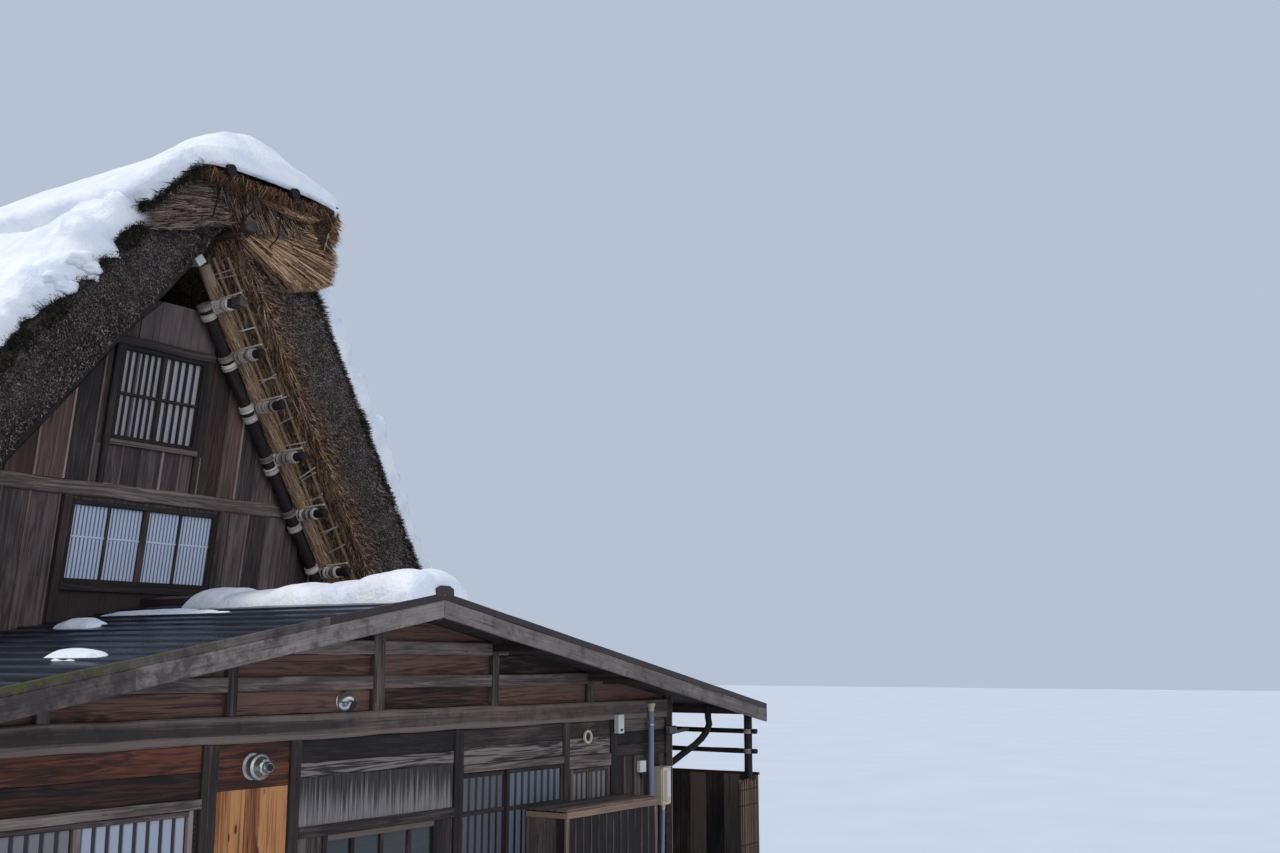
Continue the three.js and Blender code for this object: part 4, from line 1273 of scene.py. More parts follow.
def ridge_straw():
    def shape(y):
        """The saddle's section: over the crown and back under its brims."""
        t = min(1.0, (min(y, HOUSE_SPAN - y) - CROWN_FRONT) / 0.455)
        ends = ((0.95, 8.56), (1.18, 8.07)), ((0.6, 8.61), (0.655, 8.752))
        under = [Vector(a).lerp(Vector(b), t) for a, b in ends]
        over = [crown(k / 10, y) for k in range(11)]
        half = [(max(p.x, 0.01), p.y - 0.012) for p in over] + [(p.x, p.y) for p in under]
        return [(-x, z) for x, z in reversed(half)] + half

    near = [CROWN_FRONT, 1.92, 2.0, 2.1, 2.2, 2.34, 2.5, 2.7, 2.9]
    middle = [2.9 + (HOUSE_SPAN - 5.8) * k / 24 for k in range(1, 24)]
    rings = []
    for y in near + middle + [HOUSE_SPAN - y for y in reversed(near)]:
        ring = []
        for p in wrap([(x, y, z) for x, z in shape(y)], 90):
            q = p + noise.noise_vector(p * 4) * 0.012
            ring.append(Vector((q.x, p.y, q.z)))
        rings.append(ring)
    b = Build()
    b.skin(rings)
    zones = [0.1 if min(p.y, HOUSE_SPAN - p.y) < 2.5 else 0.97 for p in b.verts]
    piece("ridge_straw_saddle", b, [THATCH], "straw", "ridge_cap", smooth=True, zone=zones)


# The hood's straw fans, as straw_fan takes them
FANS = (
    ("tan_fan", [(-0.05, 8.08), (0.02, 8.16), (0.1, 8.3)], [(0.02, -0.05), (0.0, 0.0), (0.0, 0.04)],
     [(0.79, 7.575), (0.97, 7.63), (1.19, 7.68), (1.43, 7.8), (1.43, 7.99), (1.415, 8.16), (1.31, 8.26),
      (1.12, 8.41), (0.82, 8.54)],
     ((0.6, 0.72), (0.64, 0.8), (0.6, 0.82)), 6500, (0.25, 0.6), 0.0056, (-0.6, 0.55), (0.32, 0.66),
     0.014, 0.03),
    ("brim_fan", [(0.0, 8.5), (0.37, 8.56)], [(0.0, -0.03), (0.0, 0.0)],
     [(0.52, 8.34), (0.79, 8.37), (0.92, 8.5), (1.0, 8.63)],
     ((0.8, 0.92), (0.9, 1.0), (0.95, 1.08)), 2400, (0.25, 0.6), 0.006, (-0.5, 0.5), (0.2, 0.5),
     0.015, 0.03),
    ("long_straws", [(-0.55, 8.6), (0.0, 8.62), (0.5, 8.62)], [(-0.08, 0.02), (-0.05, 0.03), (0.0, 0.02)],
     [(-0.1, 8.05), (0.45, 8.12), (0.8, 8.2), (1.0, 8.42)],
     ((0.82, 0.98), (0.74, 0.86), (0.68, 0.8)), 4200, (0.15, 0.5), 0.0048, (-0.7, 0.5), (0.5, 1.0),
     0.05, 0.03),
    ("left_fan", [(-0.02, 8.2), (0.03, 8.28), (0.0, 8.38), (0.03, 8.46), (0.05, 8.52), (0.1, 8.56)],
     [(0.0, 0.02), (0.0, 0.07), (0.0, 0.12), (0.0, 0.13), (0.0, 0.1), (0.0, 0.06)],
     [(-1.24, 7.8), (-1.275, 7.99), (-1.305, 8.18), (-1.1, 8.386), (-0.85, 8.5), (-0.6, 8.6)],
     ((0.66, 0.8), (0.66, 0.82), (0.62, 0.7)), 8000, (0.1, 0.38), 0.0046, (-0.55, 0.65), (0.72, 1.0),
     0.024, 0.24),
)
# Straw bodies behind the fans, so that no gap shows between the straws, and their zones
FAN_BODIES = (
    ([(0.0, 8.15), (0.4, 7.92), (0.8, 7.62), (1.18, 7.72), (1.38, 7.83), (1.38, 8.0), (1.26, 8.24),
      (0.8, 8.5), (0.0, 8.56)], 0.12),
    ([(0.0, 8.56), (-0.55, 8.57), (-0.96, 8.34), (-1.06, 8.15), (-0.98, 7.93), (-0.5, 8.06),
      (0.0, 8.2)], 0.35),
)
# Three dark strings over the fans, as points on the gable
STRINGS = (
    ((-0.579, 8.6), (-0.515, 8.352), (-0.552, 8.098)),
    ((-0.027, 8.617), (0.03, 8.393), (-0.137, 8.177)),
    ((0.276, 8.634), (0.39, 8.351), (0.4, 8.12), (0.303, 7.988)),
)


def straw_fan(turn, kind, starts, middles, ends, outs, number, lengths, radius, tones, zones, loose, ragged):
    """Straws that run on curves from one line of points to another.

    The middles push the curves aside, and outs are the least and most distances out at a curve's
    start, middle and end. The lengths are shares of the way, loose is how much the straws stray and
    ragged is how uneven their ends are.
    """
    number = number // 3 if turn else number
    share = many.random(number)
    start, end = along(starts, share), along(ends, share)
    middle = (start + end) / 2 + along(middles, share)
    depth = many.random(number)
    first = many.random(number) ** 0.85
    last = np.minimum(first + many.uniform(*lengths, number), 1.02 - ragged * many.random(number))
    spots = []
    for t in (np.minimum(first, last - 0.06), last):
        out = np.interp(t, (0, 0.5, 1), [low for low, _ in outs])
        out += depth * np.interp(t, (0, 0.5, 1), [high - low for low, high in outs])
        t = t[:, None]
        point = start * (1 - t) ** 2 + 2 * middle * t * (1 - t) + end * t * t
        point += many.normal(0, loose, point.shape) * (1.2 - t)
        spots.append(before_gable(point, out))
    size = radius * many.uniform(0.7, 1.3, number)
    hood_straws(turn, kind, *spots, size, many.uniform(*tones, number), many.uniform(*zones, number))


def hood_straws(turn, kind, base, tip, radius, tone, zone, look=LOOSE):
    word = "back" if turn else "front"
    if turn:
        base, tip = opposite(base), opposite(tip)
    straws("hood_%s_%s" % (kind, word), base, tip, radius, tone, zone, look, "straw")


def fringe(turn):
    """Straw that hangs under the brim."""
    m = 1800 if turn else 5200
    across = many.uniform(-0.92, 1.0, m)
    deep = many.random(m)
    base = np.stack([across * 0.98, 1.86 + 0.42 * deep, 8.52 + 0.13 * deep + many.normal(0, 0.02, m)], 1)
    fall = 0.05 + 0.13 * many.random(m)
    spread = 0.1 * across + many.normal(0, 0.07, m)
    tip = base + np.stack([spread, 0.05 * (0.4 - deep), -fall], 1)
    tip[:, 1] = np.maximum(tip[:, 1], 1.85)
    hood_straws(turn, "fringe", base, tip, np.full(m, 0.0055), many.uniform(-0.6, 0.2, m),
                many.uniform(0.0, 0.2, m))


def brim_ends(turn):
    """Dark mossy tufts at the brim's left end, near black so that they also paint the shade under the brim
    there, and tan straw at its right one.
    """
    m = 500 if turn else 1500
    lip = [(0.98, 1.89, 8.52), (1.13, 2.07, 8.29), (1.23, 2.36, 8.11), (1.25, 2.95, 8.06)]
    for side, kind, stray in ((-1, "left_end", 0.5), (1, "right_end", 0.25)):
        base = along(lip, many.random(m)) + many.normal(0, 0.022, (m, 3))
        lay = np.array([0.6, -0.5, -0.7]) + many.normal(0, stray, (m, 3))
        tip = base + lay * many.uniform(0.04, 0.1, m)[:, None]
        tip[:, 1] = np.maximum(tip[:, 1], 1.85)
        # zone 0.96 gives the left end moss colours, near black: moss and painted shade under the brim
        zone = np.full(m, 0.96) if side < 0 else many.uniform(0.1, 0.4, m)
        hood_straws(turn, kind, base * [side, 1, 1], tip * [side, 1, 1], np.full(m, 0.006),
                    many.uniform(-0.6, 0.5, m), zone, BRISTLE if side < 0 else LOOSE)


def fan_bodies(turn, word):
    b = Build()
    for outline, zone in FAN_BODIES:
        centre = sum((Vector((x, z, 0)) for x, z in outline), Vector()) / len(outline)
        rings = []
        for out, size in ((VERGE - 0.05, 1.0), (VERGE + 0.04, 1.0), (VERGE + 0.1, 0.86)):
            ring = []
            for p in wrap([(x, z, 0) for x, z in outline], 40):
                q = centre + (p - centre) * size
                q += noise.noise_vector(q * 5) * 0.02
                ring.append(gable(q.x, q.y, out))
            rings.append(ring)
        b.skin(rings, zone)
    piece("hood_straw_" + word, b, [THATCH], "straw", smooth=True, turn=turn, zone=b.tones[:])


def hood_poles(turn, word):
    """The pole ends, the ridge beam's end and the strings."""
    p = Build()
    tip_y = 1.87 if turn else 1.8
    for x in (-0.63, 0.3):
        sizes = [0.062, 0.074, 0.074, 0.07, 0.07]
        rod(p, line((x, tip_y, 8.55), (x, 2.5, 8.65), 5), sizes, 14, -0.9, 0, 0.005)
    rod(p, line((-0.05, 2.16, 8.14), (-0.05, 2.9, 8.14), 4), 0.112, 4, 0.0, 4, 0.004, 0.5)
    rod(p, line((-0.05, 2.13, 8.14), (-0.05, 2.158, 8.14), 2), [0.1, 0.11], 4, -0.2, 2, 0.0, 0.5)
    rod(p, line((-0.31, 2.66, 7.74), (-0.26, 3.0, 7.8), 3), 0.075, 4, -0.3, 3)
    for spots in STRINGS:
        path = [gable(x, z, 0.86) for x, z in along(spots, np.linspace(0, 1, 12))]
        rod(p, path, 0.0085, 6, -0.4, 0)
    piece("hood_poles_" + word, p, [BLACK, RED, GREY, WHITE, RED_BEAM, STICK], "dark_wood", turn=turn)


def hood(turn, word):
    """What fills the gable's top under the brim."""
    for row in FANS:
        straw_fan(turn, *row)
    fringe(turn)
    brim_ends(turn)
    fan_bodies(turn, word)
    hood_poles(turn, word)


def bulge(share):
    """A round edge: 0 where share is 0, then steeply up to 1."""
    return sqrt(max(0.0, 1 - (1 - min(1.0, max(0.0, share))) ** 2))


def crown_bed(s, y):
    """Where snow lies on the saddle, the way up from there and how far it hangs over the brim."""
    share = min(1.0, s / BRIM)
    hung = 0.16 * min(1.0, max(0.0, min(y, HOUSE_SPAN - y) - CROWN_FRONT) / 0.3)
    below = min(hung, max(0.0, s - BRIM))
    step = crown(min(1, share + 0.06), y) - crown(max(0, share - 0.06), y)
    level = Vector((-step.y, step.x)).normalized()
    normal = level.lerp(Vector((1, 0.1)), min(1.0, below / 0.1)).normalized()
    return crown(share, y) + Vector((0.05, -1.0)) * below, normal, hung


def roof_depth(p, near, left):
    """How wide the rounded edge of the snow on the thatch is, and how thick that snow is."""
    close = max(0.0, 1 - near / 0.9)
    lump = 0.26 * ripple(p * 0.9) + 0.26 * ripple(p * 2.4) + 0.18 * ripple(p * 5.6)
    lump += close * (0.35 * ripple(p * 4.3 + Vector((7, 0, 0))) + 0.3 * ripple(p * 8.3))
    if left:
        return 0.42, (0.26 + 0.05 * close) * (1 + lump)
    return 0.2, (0.25 + 0.08 * close) * (1 + 1.3 * lump)


def snow_sheet(build, side, first, last, steps):
    """Snow from first to last metres away from the ridge line; below the brim it lies on the thatch."""
    on_crown = side == 0
    out_limit = 0.585
    rings = []
    for k in range(steps + 1):
        s = first + (last - first) * k / steps
        hand = side or (-1 if s < 0 else 1)
        left = hand < 0
        s = abs(s)
        run = s - BRIM
        thatch_spot = Vector((1.22, 8.04)) + Vector((0.61, -0.79)) * run
        wave = ripple((s * 1.3, 0.3, hand * 5)) * 0.14 + ripple((s * 3.7, 2.2, hand)) * 0.12
        wave += ripple((s * 8.1, 5.2, hand)) * 0.07
        start, stop = SNOW_FRONT, HOUSE_SPAN - SNOW_FRONT
        if not on_crown:
            hang = min(out_limit, 0.53 + wave if left else 0.52 + wave * 0.5)
            brim = 0.14 * max(0.0, 1 - (run + 0.12) / 0.3)
            start = gable_y(thatch_spot.y, hang) - brim
            stop = HOUSE_SPAN - gable_y(thatch_spot.y, min(out_limit, 0.5 - wave * 0.8)) + brim
        top, low = [], []
        for j in range(127):
            v = j / 126
            y = start + (stop - start) * (v - 0.077 * sin(2 * pi * v))
            near = min(y - start, stop - y)
            base, normal = thatch_spot, Vector((0.79, 0.61))
            if on_crown:
                base, normal, hung = crown_bed(s, y)
            p = Vector((hand * base.x, y, base.y))
            split = ripple((y * 1.1 + 0.4, hand * 3, 0.7))
            split += (0.12 if left else -0.08) if near > 1.1 else -0.4
            parted = min(1.0, max(0.0, split * 7))
            if on_crown:
                rounded, thick = 0.13, 0.165 * (1 + 0.14 * ripple(p * 1.1) + 0.12 * ripple(p * 3))
                gap = (BRIM + hung - s) / 0.1 - 0.9 * parted
                foot = 1.0
            else:
                rounded, thick = roof_depth(p, near, left)
                gap = (run + 0.14 - 0.19 * parted) / 0.12
                foot = bulge((last - s) / 0.3)
            h = max(0.008, thick * bulge(near / rounded) * bulge(gap) * foot) if gap > 0.02 else -0.04
            if on_crown:
                h = min(h, SNOW_TOP - base.y)
            else:
                # the thatch is rounded off at its rim
                past = min(RIM - 0.005, max(0.0, gable_y(base.y) - min(y, HOUSE_SPAN - y) - VERGE + RIM))
                base = base - normal * (0.9 * (RIM - sqrt(RIM ** 2 - past ** 2)))
            up = base + normal * h
            under = base - normal * (0.02 if h > 0 else 0.08)
            if on_crown and near < 0.02 and s < BRIM:
                under.y -= 0.07
            top.append(Vector((hand * up.x, y, up.y)))
            low.append(Vector((hand * under.x, y, under.y)))
        rings.append(top + low[::-1])
    for ring in rings:
        clear_of_annex(ring)
    build.skin(rings)


# Snow clods left on the verge's rim: their places on the gable and their sizes
CLODS = (
    (-1.83, 7.36, 0.5, 0.11), (-1.72, 7.28, 0.56, 0.08), (-1.95, 7.02, 0.52, 0.1), (-2.06, 7.1, 0.45, 0.1),
    (1.98, 6.78, 0.45, 0.05), (2.2, 6.5, 0.42, 0.07), (2.5, 6.1, 0.44, 0.05), (3.2, 5.15, 0.46, 0.06),
    (1.13, 8.43, 0.64, 0.13), (1.24, 8.33, 0.6, 0.11), (1.45, 8.14, 0.58, 0.12), (1.47, 8.0, 0.54, 0.1),
)


def snow_blanket():
    b = Build()
    snow_sheet(b, 0, -BRIM - 0.25, BRIM + 0.25, 96)
    for side in (-1, 1):
        snow_sheet(b, side, BRIM - 0.16, BRIM + 6.35, 104)
    piece("roof_snow_blanket", b, [SNOW], "snow", "roof_snow", smooth=True)
    c = Build()
    for x, z, out, size in CLODS:
        centre = gable(x, z, out)
        rings = []
        for k in range(13):
            tall = cos(pi * (0.02 + 0.96 * k / 12))
            wide = sqrt(1 - tall * tall)
            ring = []
            for i in range(16):
                a = 2 * pi * i / 16
                q = Vector((wide * cos(a), wide * sin(a) * 0.7, tall * 0.62))
                swell = 1 + 0.5 * ripple(q * 1.3 + centre * 3) + 0.2 * ripple(q * 3.1 + centre)
                ring.append(centre + q * size * 1.25 * swell)
            rings.append(ring)
        c.skin(rings)
    piece("rim_snow_clods", c, [SNOW], "snow", smooth=True)


def heap(name, x, y, height, cells, *replaces):
    """Snow over the annex roof: height(u, v, x, y) above the roof, with u and v from 0 to 1."""
    nx, ny = cells
    rings = []
    for j in range(ny + 1):
        v = j / ny
        at_y = y[0] + (y[1] - y[0]) * v
        x0, x1 = (value(v, bound) for bound in x)
        top, low = [], []
        for i in range(nx + 1):
            u = i / nx
            at_x = x0 + (x1 - x0) * u
            base = roof_top(at_x)
            top.append(Vector((at_x, at_y, base + max(-0.006, height(u, v, at_x, at_y)))))
            low.append(Vector((at_x, at_y, base - 0.012)))
        rings.append(top + low[::-1])
    b = Build()
    b.skin(rings)
    piece(name, b, [SNOW], "snow", *replaces, smooth=True)


# The drift's humps along the annex ridge: middle, half length and height
HUMPS = ((-0.5, 0.6, 0.19), (0.26, 0.42, 0.12), (0.9, 0.38, 0.12), (1.52, 0.4, 0.08), (2.14, 0.36, 0.11))
# Patches of old snow on the annex roof: their ranges along x and y, and their depths
PATCHES = (
    ("roof_patch_a", (-1.78, -1.5), (2.15, 2.9), 0.1), ("roof_patch_b", (-1.0, -0.66), (1.2, 3.3), 0.06),
    ("roof_patch_c", (-3.5, -3.15), (-0.3, 0.5), 0.09), ("roof_patch_d", (-5.6, -4.8), (1.4, 2.7), 0.1),
    ("roof_patch_e", (2.2, 3.1), (1.2, 3.1), 0.09), ("roof_patch_f", (4.3, 5.7), (0.2, 2.2), 0.11),
)


def drift(u, v, x, y):
    hump = max(high * max(0.0, 1 - ((y - middle) / half) ** 2) ** 0.4 for middle, half, high in HUMPS)
    dome = max(0.0, 1 - abs(2 * u - 1) ** 3.6) ** 0.5
    ends = max(0.0, 1 - abs(2 * v - 1) ** 26) ** 0.5
    lump = 1 + 0.16 * ripple((x * 2.2, y * 2.2, 3)) + 0.08 * ripple((x * 7, y * 7, 1))
    level = 0.13 * abs(x) * hump / 0.12
    return ((0.055 + hump) * lump + level) * dome * ends - 0.004


def annex_snow():
    left = lambda v: -0.48 - 0.04 * sin(9 * v) - 0.06 * ripple((v * 7, 0, 0))
    right = lambda v: 0.36 + 0.06 * sin(11 * v + 1)
    heap("annex_ridge_drift", (left, right), (-0.895, 2.44), drift, (44, 110), "annex_ridge_snow")
    for name, x, y, depth in PATCHES:
        seed = len(name) + depth * 90 + x[0]

        def cover(u, v, at_x, at_y, depth=depth, seed=seed):
            radius = math.hypot(2 * u - 1, 2 * v - 1)
            radius += 0.3 * ripple((at_x * 2.3, at_y * 1.7, seed))
            radius += 0.2 * ripple((at_x * 9, at_y * 6, seed))
            return depth * max(0.0, 1 - radius ** 2) ** 0.6 - 0.008

        heap(name, x, y, cover, (24, 30))


for word, turn in (("front", False), ("back", True)):
    gable_cladding(word, turn)
    gable_windows(word, turn)
    for side, hand in ((-1, "left"), (1, "right")):
        verge(side, hand, turn)
        verge_straws(side, hand, turn, 8000 if turn else 24000)
    hood(turn, word)
thatch_slope("right", False)
thatch_slope("left", True)
ridge_straw()
snow_blanket()
annex_snow()


# The side walls and the back wall
WALL_SKIN = (0.001, 0.02)


def cladding(build, place, x, z, cap=None):
    uprights(build, place, x, z, WALL_SKIN, 0.28, strip=1, cap=cap)


def plain_window(boards, window, place, middle, top, levels=()):
    """A barred window, 1.6 m wide, with upright boards below and above it."""
    x = (middle - 0.8, middle + 0.8)
    cladding(boards, place, x, (0.01, 0.99))
    cladding(boards, place, x, (1.91, top))
    frame_bars(window, place, x, (1.0, 1.9), (-0.1, 0.05), 0.06, (middle,), 0.06)
    for j in range(1, 8):
        bar = x[0] + (x[1] - x[0]) * j / 8
        board(window, place, (bar - 0.011, bar + 0.011), (1.06, 1.84), (-0.03, -0.008), "z")
    for level in levels:
        board(window, place, (x[0] + 0.06, x[1] - 0.06), (level, level + 0.02), (-0.026, -0.01))


def house_sides(side, word):
    b, w = Build(), Build()
    place = house_side(side)
    front, back, top = 3.6803, 16.128, 2.79
    at = 3.73
    for share in (0.18, 0.5, 0.82):
        middle = front + share * (back - front)
        cladding(b, place, (at, middle - 0.8), (0.01, top))
        plain_window(b, w, place, middle, top, (1.26, 1.46, 1.66))
        at = middle + 0.8
    cladding(b, place, (at, 16.08), (0.01, top))
    piece("house_boards_" + word, b, [DARK, GABLE], "dark_wood")
    piece("house_windows_" + word, w, [DARK], "window_frame")


def annex_sides(side, word):
    b = Build()
    place = annex_side(side)
    foot, top = 0.01, roof_top(ANNEX_HALF) - 0.1
    levels = [foot + (top - foot) * k / 12 for k in range(13)]
    rows(b, place, (-0.058, 3.675), levels, (0.001, 0.022), [rng.choice((0, 0, 1)) for _ in range(12)])
    for y in (-0.05, 1.8, 3.6):
        board(b, place, (y, y + 0.1), (foot, top), (0.001, 0.05), "z", None, 2, 0.004)
    piece("annex_side_boards_" + word, b, [DARK, RED, GREY], "dark_wood")


def back_wall():
    b, w = Build(), Build()
    cap = lambda x: INNER_APEX - RAKE * abs(x) - 0.03
    top = 2.94
    for x in ((-3.93, -2.7), (-1.1, 1.1), (2.7, 3.93)):
        cladding(b, rear, x, (0.01, top), cap)
    for middle in (-1.9, 1.9):
        plain_window(b, w, rear, middle, top)
    piece("house_boards_back", b, [DARK, GABLE], "dark_wood")
    piece("house_windows_back", w, [DARK], "window_frame")


# The fittings on the annex's front
def lathe(build, profile, centre, way=(0, -1, 0), sides=28, look=0):
    """A turned piece from pairs of radius and distance along its axis."""
    centre, way = Vector(centre), Vector(way).normalized()
    across = sideways(way)
    up = way.cross(across)
    turns = [2 * pi * i / sides for i in range(sides)]
    spokes = [across * cos(a) + up * sin(a) for a in turns]
    build.skin([[centre + way * d + spoke * r for spoke in spokes] for r, d in profile], look=look)


def case(build, x, z, out, corner, tone, look=0, grain="z"):
    """A smooth box on the annex's front."""
    board(build, annex, x, z, out, grain, tone, look, 0, corner)


DOWN, UP = (0, 0, -1), (0, 0, 1)


def flue():
    f = Build()
    x, z, face = -1.54, 2.283, -0.0155
    lathe(f, [(0.116, 0), (0.118, 0.006), (0.118, 0.02), (0.1, 0.026), (0.094, 0.03), (0.094, 0.088),
              (0.1, 0.092), (0.118, 0.096), (0.118, 0.122), (0.112, 0.13), (0.094, 0.136), (0.088, 0.15),
              (0.072, 0.19), (0.052, 0.2), (0.05, 0.222), (0.044, 0.228), (0.04, 0.246)], (x, face, z))
    for k in range(8):
        a = 2 * pi * k / 8
        centre = Vector((x + 0.066 * cos(a), -0.2, z + 0.066 * sin(a)))
        rod(f, [centre, centre + Vector((0.012 * cos(a), -0.03, 0.012 * sin(a)))], 0.006, 6, -0.3)
    # a dark disc on the terminal's front end: painted shade for its hollow, open inside
    lathe(f, [(0.034, 0), (0.034, 0.006)], (x, -0.2608, z), look=1, sides=20)
    rounded_metal(piece("flue_cowl", f, [STEEL, RUBBER], "steel", "flue_terminal"))


def vent():
    """A round cowl that bulges over its upper part, with the outlet under it."""
    h = Build()
    x, z = -0.42, 2.829
    rings = []
    for k in range(11):
        t = k / 10
        size = 0.098 * cos(pi / 2 * t * 0.985)
        ring = []
        for i in range(28):
            a = 2 * pi * i / 28
            up = sin(a)
            depth = 0.012 + (0.12 if up > -0.2 else 0.05) * sin(pi / 2 * t) * (0.75 + 0.25 * up)
            ring.append(Vector((x + size * cos(a), -depth, z + size * up)))
        rings.append(ring)
    h.skin(rings, 0.2)
    lathe(h, [(0.1, 0), (0.101, 0.012), (0.092, 0.02)], (x, 0.013, z))
    # the outlet is a dark disc under the cowl: painted shade in its opening
    lathe(h, [(0.05, 0), (0.048, 0.01)], (-0.4, -0.104, 2.79), (0.2, -0.9, -0.42), 16, 1)
    rounded_metal(piece("vent_cowl", h, [STEEL, RUBBER], "steel", "vent_hood"))


def downpipe():
    p = Build()
    x, y = 4.89, -0.113
    rod(p, line((x, y, 0.0), (x, y, 2.62), 12), 0.037, 18)
    funnel = [(0.04, 0), (0.041, 0.05), (0.044, 0.055), (0.056, 0.085), (0.056, 0.1), (0.03, 0.1)]
    lathe(p, funnel, (x, y, 2.58), UP, 18, 1)
    for z in (0.6, 1.5, 2.4):
        lathe(p, [(0.0385, 0), (0.0415, 0.004), (0.0415, 0.021), (0.0385, 0.025)], (x, y, z), UP, 18, 2)
        board(p, annex, (x - 0.012, x + 0.012), (z, z + 0.025), (0.0158, 0.076), look=2)
    rounded_metal(piece("downpipe", p, [PIPE, CREAM, STEEL], "grey_plastic", "drain_pipe"))


def meter_case():
    m = Build()
    case(m, (5.06, 5.26), (1.4, 1.87), (0.0158, 0.17), 0.012, 0.0)
    case(m, (5.066, 5.254), (1.41, 1.862), (0.17, 0.186), 0.008, 0.2)
    case(m, (5.054, 5.266), (1.865, 1.877), (0.016, 0.196), 0.003, 0.1, grain="x")
    case(m, (5.08, 5.155), (1.44, 1.83), (0.186, 0.189), 0.002, -0.5)
    case(m, (5.165, 5.24), (1.5, 1.82), (0.186, 0.189), 0.002, 0.5, 2)
    x, y = 5.16, -0.12
    lathe(m, [(0.03, 0), (0.03, 0.05), (0.022, 0.055), (0.022, 0.09)], (x, y, 1.4), DOWN, 14)
    rod(m, line((x, y, 1.33), (x, -0.09, 0.001), 6), 0.028, 12, 0, 1)
    piece("meter_case", m, [CREAM, PIPE, WHITE], "beige_plastic", "meter_box")


def wall_boxes():
    e = Build()
    case(e, (4.11, 4.23), (2.335, 2.56), (0.078, 0.15), 0.012, 0.2)
    case(e, (4.14, 4.19), (2.36, 2.39), (0.15, 0.153), 0.001, 0, 1, "x")
    case(e, (4.12, 4.22), (2.345, 2.49), (0.034, 0.079), 0.001, 0, 1)
    case(e, (4.68, 4.82), (1.83, 1.97), (0.034, 0.09), 0.01, 0.3)
    lathe(e, [(0.02, 0), (0.02, 0.05), (0.012, 0.055), (0.012, 0.08)], (4.75, -0.062, 1.83), DOWN, 12, 1)
    disc = (3.58, -0.033, 2.316)
    lathe(e, [(0.074, 0), (0.084, 0.012), (0.08, 0.034), (0.06, 0.038), (0.048, 0.02)], disc, look=2)
    # a dark plug inside the ring: painted shade in the pipe stub's open centre
    lathe(e, [(0.047, 0), (0.047, 0.026), (0.02, 0.028)], disc, look=1)
    piece("wall_boxes", e, [WHITE, RUBBER, CREAM], "beige_plastic")


def floodlight():
    lamp = Build()
    lathe(lamp, [(0.03, 0), (0.03, 0.06)], (5.4, -0.03, 2.33), look=1)
    case(lamp, (5.29, 5.45), (2.28, 2.38), (0.09, 0.15), 0.012, 0, grain="x")
    case(lamp, (5.305, 5.435), (2.29, 2.37), (0.15, 0.156), 0.002, 0.5, 2, "x")
    piece("floodlight", lamp, [STEEL, RUBBER, GLASS], "grey_plastic")


def store():
    """The board store: boards in front, at both sides and on top."""
    s = Build()
    pitch, tall = 0.148, (0.02, 1.5)
    uprights(s, annex, (2.43, 4.21), tall, (0.592, 0.61), pitch, tone=-0.45)
    at = 2.43
    while at < 4.2:
        board(s, annex, (at - 0.012, at + 0.012), tall, (0.609, 0.618), "z", -0.2, 2)
        at += pitch
    for x0 in (2.39, 4.19):
        board(s, annex, (x0, x0 + 0.06), (0.0, 1.56), (0.585, 0.62), "z", None, 1, 0.004)
    for z, tone in (((1.5, 1.57), 0.3), ((0.8, 0.84), -0.2)):
        board(s, annex, (2.4, 4.24), z, (0.612, 0.628), "x", tone, 1, 0.005, step=0.15)
    for x, side in ((2.39, -1), (4.25, 1)):
        place = lambda a, z, out, x=x, side=side: Vector((x + side * out, a, z))
        uprights(s, place, (-0.6, -0.062), (0.0, 1.56), (-0.02, 0.0), 0.14)
        board(s, place, (-0.61, -0.062), (1.5, 1.56), (0.0, 0.008), look=1)
    lid = lambda x, z, out: Vector((x, -z, out))
    for k in range(4):
        y0 = 0.062 + 0.141 * k
        board(s, lid, (2.385, 4.255), (y0, y0 + 0.138), (1.572, 1.6), look=1 if k == 3 else 0, rough=0.004)
    piece("plank_store", s, [DARK, PALE, GREY], "dark_wood", "board_store")


def shelter():
    """The log frame and the eave brace under the annex's right eave."""
    f = Build()
    x, posts = 6.3, (-0.75, 3.5)
    for y in posts:
        rod(f, line((x, y, 0), (x, y, roof_top(6.355) - 0.092), 9), 0.054, 12, -0.2, 0, 0.006)
    for z in (2.03, 2.29):
        rod(f, line((x, -0.88, z), (x, 3.56, z + 0.01), 14), 0.034, 10, -0.2, 0, 0.005)
        for y in posts:
            lashing(f, (x, y, z), (0, 0, 1), 0.058, 0.06, 3, 1, -0.2)
    brace = [(5.484, 0, 1.87), (5.6, -0.035, 1.93), (5.78, -0.09, 2.03), (5.93, -0.14, 2.11),
             (6.04, -0.18, 2.19), (6.085, -0.23, 2.28), (6.09, -0.27, 2.38), (6.06, -0.27, 2.46),
             (6.055, -0.27, 2.54), (6.052, -0.27, 2.63)]
    rod(f, brace, 0.044, 12, -0.2, 0, 0.005)
    rod(f, line((5.48, 0.02, 2.27), (6.0, 0.02, 2.31), 6), 0.026, 10, 0.1, 2, 0.004)
    piece("shelter_logs", f, [BLACK, ROPE, GREY], "dark_wood", "shelter_frame", "eave_brace")


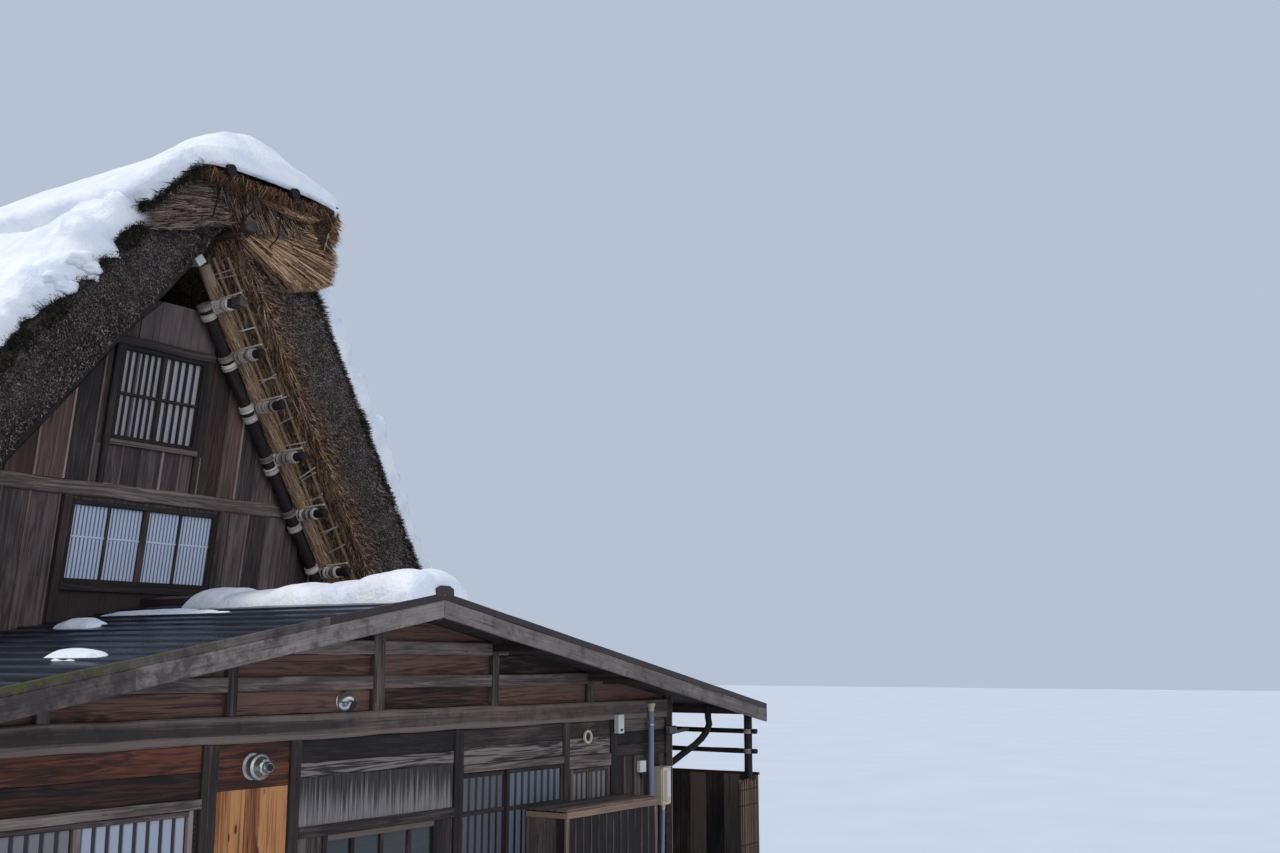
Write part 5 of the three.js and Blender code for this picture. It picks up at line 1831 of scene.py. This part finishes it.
def screens():
    """The bark screen at the shelter's side and the reed mat in its front."""
    s = Build()
    outside = lambda a, z, out: Vector((6.356 + out, a, z))
    inside = lambda a, z, out: Vector((6.4 - out, a, z))
    uprights(s, outside, (-0.85, 3.6), (0.0, 1.72), (0.018, 0.04), 0.24)
    uprights(s, inside, (-0.85, 3.6), (0.0, 1.72), (0.022, 0.044), 0.26)
    for k in range(3):
        y0 = -0.86 + 1.5 * k
        board(s, outside, (y0, y0 + 1.48), (1.72, 1.755), (-0.002, 0.046), look=1, rough=0.006, step=0.2)
    piece("bark_screen", s, [BARK, CAP_RED], "dark_wood", "shelter_side_screen")
    r = Build()
    for row in (0.812, 0.828, 0.844):
        x = 5.905
        while x < 6.352:
            z = 1.69 - rng.uniform(0.0, 0.06)
            reed = line((x, -row, 0.0), (x + rng.uniform(-0.006, 0.006), -row, z), 3)
            rod(r, reed, rng.uniform(0.005, 0.0075), 6, rng.uniform(-0.5, 0.4))
            x += rng.uniform(0.011, 0.016)
    for z in (0.35, 0.85, 1.35, 1.55):
        for y, radius in ((-0.8, 0.006), (-0.851, 0.005)):
            rod(r, line((5.9, y, z), (6.355, y, z + 0.01), 4), radius, 6, -0.4, 1)
    piece("reed_mat", r, [REED, BLACK], "straw", "reed_screen")


for side, word in ((-1, "left"), (1, "right")):
    house_sides(side, word)
    annex_sides(side, word)
back_wall()
flue()
vent()
downpipe()
meter_case()
wall_boxes()
floodlight()
store()
shelter()
screens()

# Finishes for the CAD pieces that stay
dress(GREY_X, "annex_sill")
dress(DARK_X, "annex_wall_left_bays", "annex_wall_right_bay", "door_head", "annex_gable_boards",
      "annex_back_wall")
dress(DARK_Y, "annex_roof_left", "annex_roof_right", "annex_wall_left", "annex_wall_right")
dress(FLASHING, "annex_ridge_cap")
dress(DARK_Z, "house_wall_left", "house_wall_right", "house_wall_back", "gable_wall_front",
      "gable_wall_back")
dress(FLOOR_Y, "annex_floor", "house_floor", "attic_floor_low", "attic_floor_high")
dress(LATTICE, "house_panes_left", "house_panes_right", "house_panes_back")
